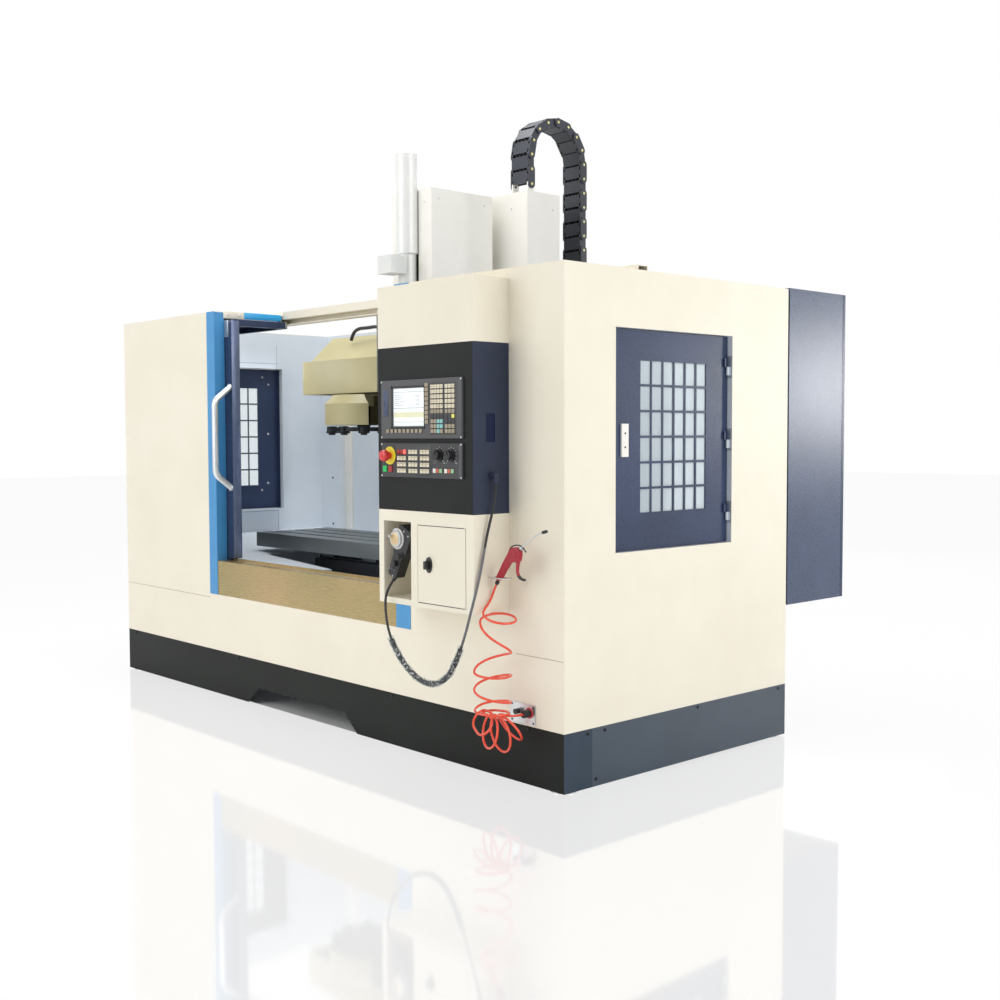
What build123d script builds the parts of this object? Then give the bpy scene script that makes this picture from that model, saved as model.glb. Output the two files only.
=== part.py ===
from build123d import *
from math import cos, radians, sin
import os

# Machining centre with a sliding-door enclosure.
# X runs to the right, Y to the back and Z up. Lengths are millimetres.
# While modelling, X = 0 is the middle of the enclosure, Y = 0 its front plane and Z = 0 the floor.

# Enclosure
width = 3030.0
depth = 1203.0
height = 1700.0
sheet = 3.0
seat = 0.3
flange = 25.0
plinth_height = 200.0
plinth_floor_gap = 6.0
frame_tube = 60.0
belt_top = 432.0
corner_wrap = 130.0
half_width = width / 2

# Fork way through the plinth
fork_bottom_half = 404.0
fork_top_half = 311.0
fork_height = 78.0

# Front opening, its trims and the sill
opening_left = 875.0 - half_width
opening_right = half_width - 864.0
trim_left_width = 67.0
trim_right_width = 83.0
trim_return = 48.0
sill_bottom = 449.0
sill_top = 600.0
sill_depth = 112.0
sill_rail_height = 8.0
door_rail_reach = half_width - 215.0
roof_depth = 350.0
roof_edge_drop = 29.0
roof_lip_back = 325.0

# Cross beam with the door track
beam_depth = 50.0
beam_box_height = 34.0
beam_bottom = 1683.0
track_drop = 26.0

# Sliding front doors
door_width = 690.0
door_front = 50.0
door_thickness = 42.0
door_bottom = 610.0
door_top = 1665.0
door_roof_thickness = 28.0
door_roof_back = 340.0
door_reveal = 55.0
door_window_bottom = 860.0
door_window_top = 1500.0
door_stile = 70.0
glass_thickness = 8.0
glass_lap = 12.0
handle_bottom = 924.0
handle_top = 1367.0
handle_reach = 77.0
handle_radius = 9.0
handle_inset = 15.0
roller_radius = 10.0
roller_width = 9.0
axle_radius = 4.0

# Service doors in the side walls
service_front = 240.0
service_back = depth - 342.0
service_bottom = 764.0
service_top = 1506.0
service_gap = 3.0
service_recess = 20.0
service_thickness = 25.0
jamb_depth = 70.0
window_front = service_front + 144.5
window_back = service_back - 126.0
window_bottom = service_bottom + 127.0
window_top = service_top - 104.0
window_columns = 6
window_rows = 6
window_bar = 8.0
hinge_radius = 6.0
hinge_length = 60.0
hinge_pin_radius = 3.0

# Bed, column and guideways
bed_half = 330.0
bed_front = 240.0
column_front = depth + 79.0
bed_back = column_front + 308.0
bed_bottom = 90.0
bed_top = 430.0
foot_radius = 45.0
foot_inset = 52.0
rail_width = 35.0
rail_height = 30.0
block_width = 66.0
block_length = 100.0
block_gap = 1.0
y_rail_offset = 260.0
y_rail_front = bed_front + 60.0
y_rail_back = depth - 143.0
y_end_front = y_rail_back + 30.0
y_end_back = y_end_front + 40.0
screw_radius = 16.0
journal_radius = 10.0
nut_clearance = 1.0
y_screw_height = 405.0
y_channel_half = 60.0
y_channel_bottom = 358.0
motor_side = 90.0
motor_length = 130.0
encoder_side = 74.0
encoder_length = 38.0
column_half_base = 250.0
column_half_top = 172.0
column_shoulder = 1450.0
column_top = 1900.0
z_rail_offset = 150.0
z_rail_bottom = 900.0
z_screw_y = column_front - 32.0

# Head slide, from which the spindle's place follows
slide_back = column_front - 56.0
slide_front = slide_back - 30.0
spindle_y = slide_front - 621.0

# Saddle and table
saddle_half = 560.0
saddle_front = spindle_y - 115.0
saddle_back = saddle_front + 300.0
saddle_bottom = 470.0
saddle_top = 590.0
x_rail_front = saddle_front + 45.0
x_rail_back = saddle_back - 45.0
x_rail_height = 24.0
x_screw_height = 588.0
x_channel_half = 52.0
x_channel_bottom = 535.0
table_left = -892.0
table_length = 1150.0
table_front = spindle_y - 225.0
table_width = 420.0
table_bottom = 630.0
table_top = 695.0
table_block_offset = 160.0
slot_count = 3
slot_pitch = 110.0
slot_neck = 18.0
slot_neck_depth = 20.0
slot_cavity = 32.0
slot_cavity_depth = 14.0

# Head and spindle
head_half = 135.0
head_bottom = 1345.0
head_top = 1700.0
nose_radius = 62.0
nose_bottom = 1222.0
spindle_face = 1205.0
spindle_flange_radius = 45.0
spindle_shaft_radius = 32.0
spindle_shaft_top = 1420.0
taper_mouth_radius = 22.2
taper_depth = 68.0
taper_small_radius = 12.3
slide_half = 190.0
slide_top = 1830.0
head_cover_front = spindle_y + 24.0
head_cover_back = spindle_y + 375.0
drive_y = spindle_y + 225.0
z_nut_bottom = head_bottom + 215.0
z_nut_length = 90.0
head_cover_top = 2203.0
cylinder_radius = 49.0
cylinder_bottom = 1930.0
cylinder_top = 2360.0
carriage_half = 300.0
carriage_front = depth - 200.0
carriage_back = depth
carriage_top = 2218.0

# Tool changer
magazine_x = -327.0
magazine_radius = 175.0
magazine_bottom = 1200.0
magazine_top = 1335.0
magazine_chamfer = 40.0
pitch_radius = 150.0
pocket_count = 10
pocket_radius = 24.0
disc_radius = 163.0
disc_bottom = 1172.0
disc_top = 1190.0
hub_radius = 30.0
nose_notch_radius = 86.0
housing_left = -740.0
housing_right = -155.0
housing_front = spindle_y - 50.0
housing_back = spindle_y + 275.0
housing_bottom = 1345.0
housing_top = 1500.0
hood_height = 112.0
hood_inset = 71.0
guide_radius = 12.5
arm_left = -430.0
arm_right = -330.0

# Operator console
console_right = half_width - 255.0
console_left = console_right - 507.0
console_depth = 156.0
console_bottom = 896.0
console_top = 1455.0
upper_box_top = 1666.0
cabinet_bottom = 570.0
panel_left = console_left + 28.0
panel_right = console_right - 46.0
display_bottom = 1142.0
display_top = 1342.0
screen_left = panel_left + 67.0
screen_width = 171.0
screen_bottom = 1184.0
screen_height = 130.0
letter_x = panel_left + 275.0
letter_pitch = 16.3
digit_x = panel_left + 349.0
digit_pitch = 16.9
key_rows = 10
key_row_z = display_bottom + 19.0
key_row_pitch = 16.4
key_width = 14.0
key_size_z = 12.5
soft_key_x = panel_left + 34.0
soft_key_pitch = 22.5
soft_key_z = display_bottom + 20.0
side_key_x = panel_left + 244.0
side_key_z = display_bottom + 50.0
side_key_pitch = 15.4
keys_bottom = 1010.0
keys_top = 1128.0
function_x = panel_left + 93.0
function_group = 62.5
function_pitch = 16.6
function_z = keys_bottom + 16.0
function_pitch_z = 21.5
function_size = 14.0
spindle_key_x = panel_left + 286.0
spindle_key_group = 59.0
spindle_key_z = keys_bottom + 19.0
panel_thickness = 8.0
key_height = 2.5
stop_x = panel_left + 52.0
stop_z = 1084.0
stop_ring_radius = 31.0
stop_ring_thickness = 4.0
stop_stem_radius = 12.0
stop_travel = 4.0
button_side = 21.0
button_z = 1038.0
button_first_x = panel_left + 24.0
button_pitch = 30.0
feed_knob_x = panel_left + 317.0
speed_knob_x = feed_knob_x + 61.0
knob_z = 1088.0
knob_radius = 21.0
niche_left = console_left + 30.0
niche_right = niche_left + 152.0
niche_bottom = 590.0
niche_top = 857.0
locker_left = console_left + 217.0
locker_right = console_right - 38.0
locker_bottom = 585.0
locker_top = 851.0
locker_pivot_x = locker_right - 9.0
locker_pivot_y = 6.0 - console_depth

# Hand-held pulse unit
pendant_top_x = console_left + 140.0
pendant_top_z = 832.0
pendant_foot_x = console_left + 59.0
pendant_foot_z = 662.0
pendant_back = 50.0 - console_depth
pendant_thickness = 40.0
wheel_x = console_left + 92.0
wheel_z = 795.0
wheel_radius = 30.0
cable_radius = 4.5

plug_x = console_right + 24.0
plug_y = -81.0
plug_z = 1024.0
plug_drop = 26.0

# Air gun and its coiled hose
gun_y = -80.0
grip_foot_x = console_right + 29.0
grip_foot_z = 676.0
gun_thickness = 24.0
hook_wire_radius = 2.5
hose_radius = 4.0
coil_x = console_right + 46.0
coil_y = -112.0
coil_radius = 66.0
coil_top = 566.0
coil_bottom = 118.0
port_left = console_right + 9.0
port_right = port_left + 117.0
port_bottom = 205.0
port_top = 273.0
coupler_length = 34.0

# Electrical cabinet behind the right end
cabinet_left = half_width - 700.0
cabinet_front = depth + 9.0
cabinet_back = cabinet_front + 363.0
cabinet_z0 = 502.0
cabinet_z1 = 1705.0
cabinet_door_depth = 16.0
cabinet_latch = 10.0

# Cable chain between column and head
link_pitch = 64.0
link_height = 38.0
plate_thickness = 6.5
arch_links = 8
left_links = 2
right_links = 12
chain_left = 180.0
chain_right = 300.0
chain_bracket = 32.0
pin_radius = 6.0
chain_cover_length = 53.0

# Reach to the front and the back, from which the origin under the middle follows
stop_reach = 40.0
front_reach = -(console_depth + panel_thickness + stop_reach)
back_reach = cabinet_back + 2 + cabinet_door_depth + cabinet_latch
origin_y = (front_reach + back_reach) / 2


def block(x0, x1, y0, y1, z0, z1):
    """Rectangular solid between two corners."""
    return Pos((x0 + x1) / 2, (y0 + y1) / 2, (z0 + z1) / 2) * Box(x1 - x0, y1 - y0, z1 - z0)


def rod_x(radius, x0, x1, y, z):
    """Round bar along X."""
    return Pos((x0 + x1) / 2, y, z) * Rot(0, 90, 0) * Cylinder(radius, x1 - x0)


def rod_y(radius, x, y0, y1, z):
    """Round bar along Y."""
    return Pos(x, (y0 + y1) / 2, z) * Rot(90, 0, 0) * Cylinder(radius, y1 - y0)


def rod_z(radius, x, y, z0, z1):
    """Round bar along Z."""
    return Pos(x, y, (z0 + z1) / 2) * Cylinder(radius, z1 - z0)


def prism_x(outline, x0, x1):
    """Outline of (y, z) points drawn out along X."""
    return Pos(x0, 0, 0) * extrude(Plane.YZ * make_face(Polyline(*outline, close=True)), x1 - x0)


def prism_y(outline, y0, y1):
    """Outline of (x, z) points drawn out along Y."""
    return Pos(0, y1, 0) * extrude(Plane.XZ * make_face(Polyline(*outline, close=True)), y1 - y0)


def pan_y(x0, x1, y0, z0, z1, reach, wall=sheet):
    """Folded sheet pan: a plate at y0 with returns that run back by reach."""
    outer = block(x0, x1, y0, y0 + reach, z0, z1)
    return outer - block(x0 + wall, x1 - wall, y0 + wall, y0 + reach + 1, z0 + wall, z1 - wall)


def mirror_x(solid):
    """The same piece on the other side of the machine."""
    return solid.mirror(Plane.YZ)


# Plinth, belt, sill and front covers
def plinth_front():
    outer = block(-half_width, half_width, 0, corner_wrap, plinth_floor_gap, plinth_height)
    inner = block(-half_width + sheet, half_width - sheet, sheet, corner_wrap + 1, 0, plinth_height - sheet)
    rear_half = half_width - flange
    lip_hole = block(-rear_half, rear_half, sheet + flange, corner_wrap + 1, 0, plinth_height + 1)
    fork = [(-fork_bottom_half, 0), (fork_bottom_half, 0), (fork_top_half, fork_height),
            (-fork_top_half, fork_height)]
    return outer - inner - lip_hole - prism_y(fork, -1, corner_wrap)


def plinth_frame():
    tube = frame_tube
    y0 = corner_wrap
    skirt = block(-half_width, half_width, y0, depth, plinth_floor_gap, plinth_height)
    skirt -= block(-half_width + sheet, half_width - sheet, y0 - 1, depth - sheet, 0, plinth_height + 1)
    x1 = half_width - sheet
    z0, z1 = plinth_height - sheet - tube, plinth_height - sheet
    ring = block(-x1, x1, sheet, depth - sheet, z0, z1)
    ring -= block(-x1 + tube, x1 - tube, sheet + tube, depth - sheet - tube, z0 - 1, z1 + 1)
    for side in (-1, 1):
        x = side * (bed_half + tube)
        ring += block(x - tube / 2, x + tube / 2, sheet + tube, depth - sheet - tube, z0, z1)
    rear_gap = block(-bed_half - seat, bed_half + seat, depth - tube - 2 * sheet, depth + 1, 0, plinth_height + 1)
    return skirt + ring - rear_gap


def lower_front_panel():
    lower, upper = plinth_height, belt_top
    outer = block(-half_width, half_width, 0, corner_wrap, lower, upper)
    outer -= block(-half_width + sheet, half_width - sheet, sheet, corner_wrap + 1, lower - 1, upper + 1)
    outer += block(opening_left - trim_left_width, opening_right + trim_right_width, 0, sheet, upper, sill_bottom)
    for x in (opening_left, 0.0, opening_right):
        outer += block(x - flange, x + flange, sheet, 2 * flange, lower, upper)
    return outer


def sill_apron():
    face = [(0, sill_bottom), (sheet, sill_bottom), (sheet, sill_top - sheet), (sill_depth, sill_top - sheet),
            (sill_depth, sill_top), (0, sill_top)]
    apron = prism_x(face, opening_left + seat, opening_right - seat)
    rail_y = door_front + door_thickness / 2
    shelf = block(-door_rail_reach, door_rail_reach, flange + seat, sill_depth, sill_top - sheet, sill_top)
    rail = block(-door_rail_reach, door_rail_reach, rail_y - 4, rail_y + 4, sill_top, sill_top + sill_rail_height)
    return apron + shelf + rail


def front_cover(outer_x, inner_x, edge_x):
    """Front plate beside the opening with the fixed roof strip behind it."""
    x0, x1 = min(outer_x, inner_x), max(outer_x, inner_x)
    plate = pan_y(x0, x1, 0, belt_top, height, flange)
    outward = 1 if outer_x > 0 else -1
    o0, o1 = sorted((outer_x, outer_x - outward * sheet))
    plate -= block(o0, o1, sheet, flange + 1, belt_top - 1, height + 1)
    plate -= block(x0 + sheet, x1 - sheet, sheet, flange + 1, height - 2 * sheet, height + 1)
    r0, r1 = min(outer_x, edge_x), max(outer_x, edge_x)
    roof = block(r0, r1, 0, roof_depth, height - sheet, height)
    e0, e1 = sorted((edge_x, edge_x + outward * sheet))
    lip = block(e0, e1, trim_return, roof_lip_back, height - roof_edge_drop, height - sheet)
    return plate + roof + lip


def left_front_cover():
    return front_cover(-half_width, opening_left - trim_left_width, opening_left)


def right_front_cover():
    return front_cover(half_width, opening_right + trim_right_width, opening_right)


def opening_trims():
    """Coloured angle trims on both sides of the opening."""
    left = block(opening_left - trim_left_width, opening_left, -2, 0, sill_bottom, height)
    left += block(opening_left - sheet, opening_left, -2, trim_return, sill_top, height - sheet)
    right = block(opening_right, opening_right + trim_right_width, -2, 0, sill_bottom, height)
    right += block(opening_right, opening_right + sheet, -2, trim_return, sill_top, height - sheet)
    return Compound(children=[left, right])


def top_beam():
    x1 = half_width - sheet
    y0, y1 = roof_depth, roof_depth + beam_depth
    box = block(-x1, x1, y0, y1, beam_bottom, beam_bottom + beam_box_height)
    box -= block(-x1 - 1, x1 + 1, y0 + sheet, y1 - sheet, beam_bottom + sheet, beam_bottom + beam_box_height - sheet)
    web = block(-x1, x1, y1 - sheet, y1, beam_bottom - track_drop, beam_bottom)
    track = block(-x1, x1, y0, y1, beam_bottom - track_drop, beam_bottom - track_drop + sheet)
    return box + web + track


# Side and rear walls
def side_wall():
    """Right wall with the recessed frame of its service door; the left one is its mirror image."""
    x0, x1 = half_width - sheet, half_width
    wall = block(x0, x1, corner_wrap, depth, plinth_height, height)
    wall += block(x0, x1, sheet, corner_wrap, belt_top, height - sheet)
    wall -= block(x0 - 1, x1 + 1, 0, roof_depth, height - sheet, height + 1)
    inner = half_width - jamb_depth
    frame = block(inner, x0, service_front - sheet, service_back + sheet, service_bottom - sheet,
                  service_top + sheet)
    hole = block(inner - 1, x1 + 1, service_front, service_back, service_bottom, service_top)
    wall = wall + frame - hole
    for z in service_hinge_levels():
        wall += service_hinge(z, half=0)
    return wall


def service_hinge_levels():
    return [service_bottom + 110, (service_bottom + service_top) / 2, service_top - 110]


def service_axis():
    """Hinge axis of the right service door, as X and Y."""
    return half_width - service_recess + hinge_radius + 1, service_back - service_gap - hinge_radius


def service_hinge(level, half):
    """One knuckle of a hinge: half 0 is on the frame, half 1 on the door above it."""
    x, y = service_axis()
    z0 = level - hinge_length / 2 + half * (hinge_length / 2 + seat)
    z1 = z0 + hinge_length / 2 - seat
    knuckle = rod_z(hinge_radius, x, y, z0, z1)
    if half == 0:
        leaf = block(x, x + hinge_radius, y, service_back, z0, z1)
        return knuckle + leaf + rod_z(hinge_pin_radius, x, y, z0, z0 + hinge_length)
    leaf = block(x - hinge_radius - 1, x, y - 3 * hinge_radius, y, z0, z1)
    return knuckle + leaf - rod_z(hinge_pin_radius + seat, x, y, z0 - 1, z1 + 1)


def service_door():
    """Right service door: a steel pan with a grid window and one pane behind the bars."""
    x1 = half_width - service_recess
    x0 = x1 - service_thickness
    y0, y1 = service_front + service_gap, service_back - service_gap
    z0, z1 = service_bottom + service_gap, service_top - service_gap
    door = block(x0, x1, y0, y1, z0, z1)
    door -= block(x0 - 1, x1 - sheet, y0 + sheet, y1 - sheet, z0 + sheet, z1 - sheet)
    pitch_y = (window_back - window_front + window_bar) / window_columns
    pitch_z = (window_top - window_bottom + window_bar) / window_rows
    for column in range(window_columns):
        for row in range(window_rows):
            y = window_front + column * pitch_y
            z = window_bottom + row * pitch_z
            door -= block(x1 - 2 * sheet, x1 + 1, y, y + pitch_y - window_bar, z, z + pitch_z - window_bar)
    door += block(x1 - 2 * sheet, x1 - sheet, window_front - glass_lap, window_back + glass_lap,
                  window_bottom - glass_lap, window_top + glass_lap)
    lock_y, lock_z = service_front + 62, (service_bottom + service_top) / 2
    door += block(x1, x1 + 6, lock_y - 17, lock_y + 17, lock_z - 55, lock_z + 55)
    for z in service_hinge_levels():
        door += service_hinge(z, half=1)
    return door


def rear_wall():
    y0, y1 = depth - sheet, depth
    x1 = half_width - sheet
    wall = block(-x1, x1, y0, y1, plinth_height, height)
    wall -= block(arm_left - 150, carriage_half + 30, y0 - 1, y1 + 1, bed_top - 20, height + 1)
    wall -= block(-bed_half - seat, bed_half + seat, y0 - 1, y1 + 1, plinth_height - 1, bed_top + 1)
    post = 170.0
    post_depth = 45.0
    for side in (-1, 1):
        a, b = sorted((side * x1, side * (x1 - post)))
        folded = block(a, b, y0 - post_depth, y0, pan_wall_height(), height - 90)
        folded -= block(a + sheet, b - sheet, y0 - post_depth + sheet, y0 + 1, pan_wall_height() - 1, height)
        wall += folded
    return wall


# Chip pan
pan_end_x = 230.0
pan_end_z = 566.0
pan_rise = 75.0
pan_front_y = sill_depth
pan_short_y = 325.0
pan_far_x = 760.0
trough_floor = 500.0


def pan_wall_height():
    """Height at which the sloping pan meets the side wall."""
    return pan_end_z + pan_rise + sheet


def chip_tray():
    x1 = half_width - sheet
    rear = depth - sheet
    wing = [(pan_end_x, pan_end_z), (x1, pan_end_z + pan_rise), (x1, pan_end_z + pan_rise + sheet),
            (pan_end_x, pan_end_z + sheet)]
    side = prism_y(wing, pan_front_y, rear)
    side -= block(pan_end_x - 1, pan_far_x, pan_short_y, rear + 1, trough_floor, height)
    side += block(pan_end_x, pan_end_x + sheet, pan_front_y, pan_short_y, trough_floor, pan_end_z + sheet)
    tray = side + mirror_x(side)
    tray += block(-pan_end_x - sheet, pan_end_x + sheet, pan_front_y, pan_short_y, trough_floor - sheet, trough_floor)
    front_edge = block(-x1, x1, pan_front_y, pan_front_y + sheet, trough_floor - sheet, sill_top)
    return tray + front_edge


# Sliding doors
def sliding_door(open_edge, direction):
    """L-shaped door with front and roof parts. direction is +1 where it closes to the right."""
    lead = open_edge + direction * door_reveal
    tail = lead - direction * door_width
    x0, x1 = min(lead, tail), max(lead, tail)
    y0, y1 = door_front, door_front + door_thickness
    roof_z = door_top - door_roof_thickness
    outline = [(y0, door_bottom), (y1, door_bottom), (y1, roof_z), (door_roof_back, roof_z),
               (door_roof_back, door_top), (y0 + 14, door_top), (y0, door_top - 14)]
    door = prism_x(outline, x0, x1)
    w0, w1 = x0 + door_stile, x1 - door_stile
    door -= block(w0, w1, y0 - 1, y1 + 1, door_window_bottom, door_window_top)
    mid = (y0 + y1) / 2
    rebate = glass_thickness / 2 + seat
    door -= block(w0 - glass_lap, w1 + glass_lap, mid - rebate, mid + rebate, door_window_bottom - glass_lap,
                  door_window_top + glass_lap)
    door -= block(x0 + 30, x1 - 30, y1 + 10, door_roof_back - 20, roof_z - 1, door_top - sheet)
    rail_y = door_front + door_thickness / 2
    door -= block(x0 - 1, x1 + 1, rail_y - 5, rail_y + 5, door_bottom - 1, sill_top + sill_rail_height + 4)
    door += door_handle(lead - direction * handle_inset)
    for x in (x0 + 60, x1 - 60):
        door += door_roller(x)
        door += block(x - 25, x + 25, rail_y - 20, rail_y - 5, sill_top + 1, door_bottom)
        door += block(x - 25, x + 25, rail_y + 5, rail_y + 20, sill_top + 1, door_bottom)
    return door


def door_handle(x):
    """Bow handle that stands off the leading stile."""
    y = door_front
    rise = 60.0
    path = FilletPolyline((x, y, handle_bottom), (x, y - handle_reach, handle_bottom + rise),
                          (x, y - handle_reach, handle_top - rise), (x, y, handle_top), radius=30)
    section = Plane(origin=path @ 0, z_dir=path % 0) * Circle(handle_radius)
    bow = sweep(section, path=path)
    for z in (handle_bottom, handle_top):
        bow += rod_y(1.6 * handle_radius, x, y - 8, y, z)
    return bow - block(x - 50, x + 50, y, y + 50, handle_bottom - 50, handle_top + 50)


def door_roller(x):
    """Hanger with one roller that runs in the beam's track."""
    z = beam_bottom - track_drop + sheet + roller_radius + seat
    y = roof_depth + 12
    hanger = block(x - 16, x + 16, door_roof_back - 6, door_roof_back, door_top - 10, z + 8)
    wheel = rod_y(roller_radius, x, y, y + roller_width, z)
    return hanger + wheel + rod_y(axle_radius, x, door_roof_back - 6, y + roller_width, z)


def sliding_glass(open_edge, direction):
    lead = open_edge + direction * door_reveal
    tail = lead - direction * door_width
    x0, x1 = min(lead, tail), max(lead, tail)
    mid = door_front + door_thickness / 2
    lap = glass_lap - seat
    half = glass_thickness / 2
    return block(x0 + door_stile - lap, x1 - door_stile + lap, mid - half, mid + half,
                 door_window_bottom - lap, door_window_top + lap)


# Castings and guideways
def bed():
    body = block(-bed_half, bed_half, bed_front, bed_back, bed_bottom, bed_top)
    body = fillet(body.edges().filter_by(Axis.Z), 18)
    pocket_count_y = 4
    rib = 60.0
    pitch = (bed_back - bed_front - rib) / pocket_count_y
    pocket_depth = 70.0
    for index in range(pocket_count_y):
        y0 = bed_front + rib + index * pitch
        for side in (-1, 1):
            a, b = sorted((side * (bed_half + 1), side * (bed_half - pocket_depth)))
            body -= block(a, b, y0, y0 + pitch - rib, bed_bottom + 55, bed_top - 75)
    channel_end = column_front - 70
    body -= block(-y_channel_half, y_channel_half, bed_front - 1, channel_end, y_channel_bottom, bed_top + 1)
    return body


def foot_places():
    """Levelling points: three pairs under the bed and one at each corner of the enclosure."""
    places = [(side * (bed_half - 60), y, bed_bottom) for side in (-1, 1)
              for y in (y_rail_front, bed_back - 690, bed_back - 60)]
    corner_x = half_width - foot_inset
    tube_bottom = plinth_height - sheet - frame_tube
    return places + [(side * corner_x, y, tube_bottom) for side in (-1, 1) for y in (foot_inset, depth - foot_inset)]


def levelling_feet():
    feet = []
    for x, y, top in foot_places():
        disc = Pos(x, y, 0) * Cylinder(foot_radius, 14, align=(Align.CENTER, Align.CENTER, Align.MIN))
        foot = disc + rod_z(12, x, y, 14, top) + Pos(x, y, top - 12) * extrude(RegularPolygon(20, 6), 12)
        feet.append(foot)
    return Compound(children=feet)


def column():
    shoulder, half0, half1 = column_shoulder, column_half_base, column_half_top
    outline = [(-half0, bed_top), (half0, bed_top), (half0, bed_top + 60), (half1, shoulder), (half1, column_top),
               (-half1, column_top), (-half1, shoulder), (-half0, bed_top + 60)]
    body = prism_y(outline, column_front, bed_back)
    wall = 32.0
    core = [(-half0 + wall, bed_top - 1), (half0 - wall, bed_top - 1), (half0 - wall, bed_top + 60),
            (half1 - wall, shoulder), (half1 - wall, column_top - wall), (-half1 + wall, column_top - wall),
            (-half1 + wall, shoulder), (-half0 + wall, bed_top + 60)]
    body -= prism_y(core, column_front + wall, bed_back - wall)
    for z in (620.0, 900.0, 1180.0):
        body -= Pos(0, bed_back - wall / 2, z) * Rot(90, 0, 0) * Cylinder(70, wall + 2)
    pad_y0, pad_y1 = column_front + 30, bed_back - 60
    arm_z0, arm_z1 = arm_levels()
    body += block(arm_right, -half1, pad_y0, pad_y1, arm_z0, arm_z1)
    chain_z = chain_fixed_level()
    chain_y = chain_fixed_y()
    body += block(half1, chain_right, chain_y - 30, chain_y + 30, chain_z - 12, chain_z)
    gusset = [(half1, chain_z - 100), (half1 + 90, chain_z - 12), (half1, chain_z - 12)]
    body += prism_y(gusset, chain_y - 5, chain_y + 5)
    return body + chain_ear(chain_pins()[-1], (left_links + arch_links + right_links) % 2, chain_z)


def arm_levels():
    """Height range of the tool changer's arm, inside its housing."""
    return housing_bottom + 20, housing_top - 20


def rail_outline(half, rise):
    """Cross section of a profiled guide rail, from its base up."""
    waist = half - 5
    return [(-half, 0), (half, 0), (half, 0.3 * rise), (waist, 0.5 * rise), (waist, 0.65 * rise),
            (half, 0.8 * rise), (half - 2, rise), (-half + 2, rise), (-half, 0.8 * rise), (-waist, 0.65 * rise),
            (-waist, 0.5 * rise), (-half, 0.3 * rise)]


def linear_rails():
    """Guide rails of the saddle on the bed and of the head on the column."""
    section = make_face(Polyline(*rail_outline(rail_width / 2, rail_height), close=True))
    along_y = extrude(Plane.XZ * section, y_rail_back - y_rail_front)
    upright = Plane(origin=(0, 0, 0), x_dir=(1, 0, 0), z_dir=(0, 0, 1))
    along_z = extrude(upright * section.mirror(Plane.XZ), column_top - 20 - z_rail_bottom)
    rails = []
    for side in (-1, 1):
        rails.append(Pos(side * y_rail_offset, y_rail_back, bed_top) * along_y)
        rails.append(Pos(side * z_rail_offset, column_front, z_rail_bottom) * along_z)
    return Compound(children=rails)


def servo_motor():
    """Servo motor along +Z from its flange at the origin."""
    low = (Align.CENTER, Align.CENTER, Align.MIN)
    body = chamfer(Box(motor_side, motor_side, motor_length, align=low).edges().filter_by(Axis.Z), 9)
    cap = chamfer(Box(encoder_side, encoder_side, encoder_length, align=low).edges().filter_by(Axis.Z), 12)
    plug = Pos(0, motor_side / 2 + 8, motor_length - 26) * Box(30, 22, 34)
    return body + Pos(0, 0, motor_length) * cap + plug


def axis_motors():
    """Drives of the Y and Z screws: motor, support bearing block and end bearing block of each."""
    reach = motor_side / 2
    z = y_screw_height
    flange_y = bed_front
    y_motor = Pos(0, flange_y, z) * Rot(90, 0, 0) * servo_motor()
    plate = block(-reach - 10, reach + 10, flange_y, flange_y + 12, y_channel_bottom, bed_top)
    front = block(-50, 50, flange_y + 12, flange_y + 62, y_channel_bottom, bed_top)
    bore = journal_radius + seat
    y_drive = y_motor + plate + front - rod_y(bore, 0, flange_y + 2, flange_y + 63, z)
    y_end = block(-50, 50, y_end_front, y_end_back, y_channel_bottom, bed_top)
    y_end -= rod_y(bore, 0, y_end_front - 1, y_end_back + 1, z)
    top = column_top
    z_motor = Pos(0, z_screw_y, top + 30) * servo_motor()
    bridge = block(-70, 70, z_screw_y - 40, column_front + 60, top, top + 30)
    bearing = block(-45, 45, z_screw_y - 22, column_front, top - 60, top)
    z_drive = z_motor + bridge + bearing - rod_z(bore, 0, z_screw_y, top - 61, top + 12)
    z_end = block(-45, 45, z_screw_y - 22, column_front, 900, 940) - rod_z(bore, 0, z_screw_y, 899, 941)
    return Compound(children=[y_drive, y_end, z_drive, z_end])


def screw(length, journal):
    """Ball screw along +Z with a turned journal at each end."""
    low = (Align.CENTER, Align.CENTER, Align.MIN)
    shaft = Cylinder(journal_radius, length, align=low)
    middle = Cylinder(screw_radius, length - 2 * journal, align=low)
    return shaft + Pos(0, 0, journal) * chamfer(middle.edges(), 2)


def y_screw():
    start = bed_front + 4
    return Pos(0, start, y_screw_height) * Rot(-90, 0, 0) * screw(y_end_back - start, 62)


def z_screw():
    start = 902.0
    return Pos(0, z_screw_y, start) * screw(column_top + 10 - start, 72)


def x_screw():
    start = -saddle_half + 4
    return Pos(start, table_mid_y(), x_screw_height) * Rot(0, 90, 0) * screw(saddle_half - 4 - start, 46)


def table_mid_y():
    return (saddle_front + saddle_back) / 2


def guide_block(length):
    """Guide block along Y that straddles a rail at the origin."""
    low = (Align.CENTER, Align.CENTER, Align.MIN)
    body = Pos(0, 0, rail_height / 3) * Box(block_width, length, 40 - rail_height / 3, align=low)
    return body - Box(rail_width + 2 * block_gap, length + 2, rail_height + block_gap, align=low)


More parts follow.
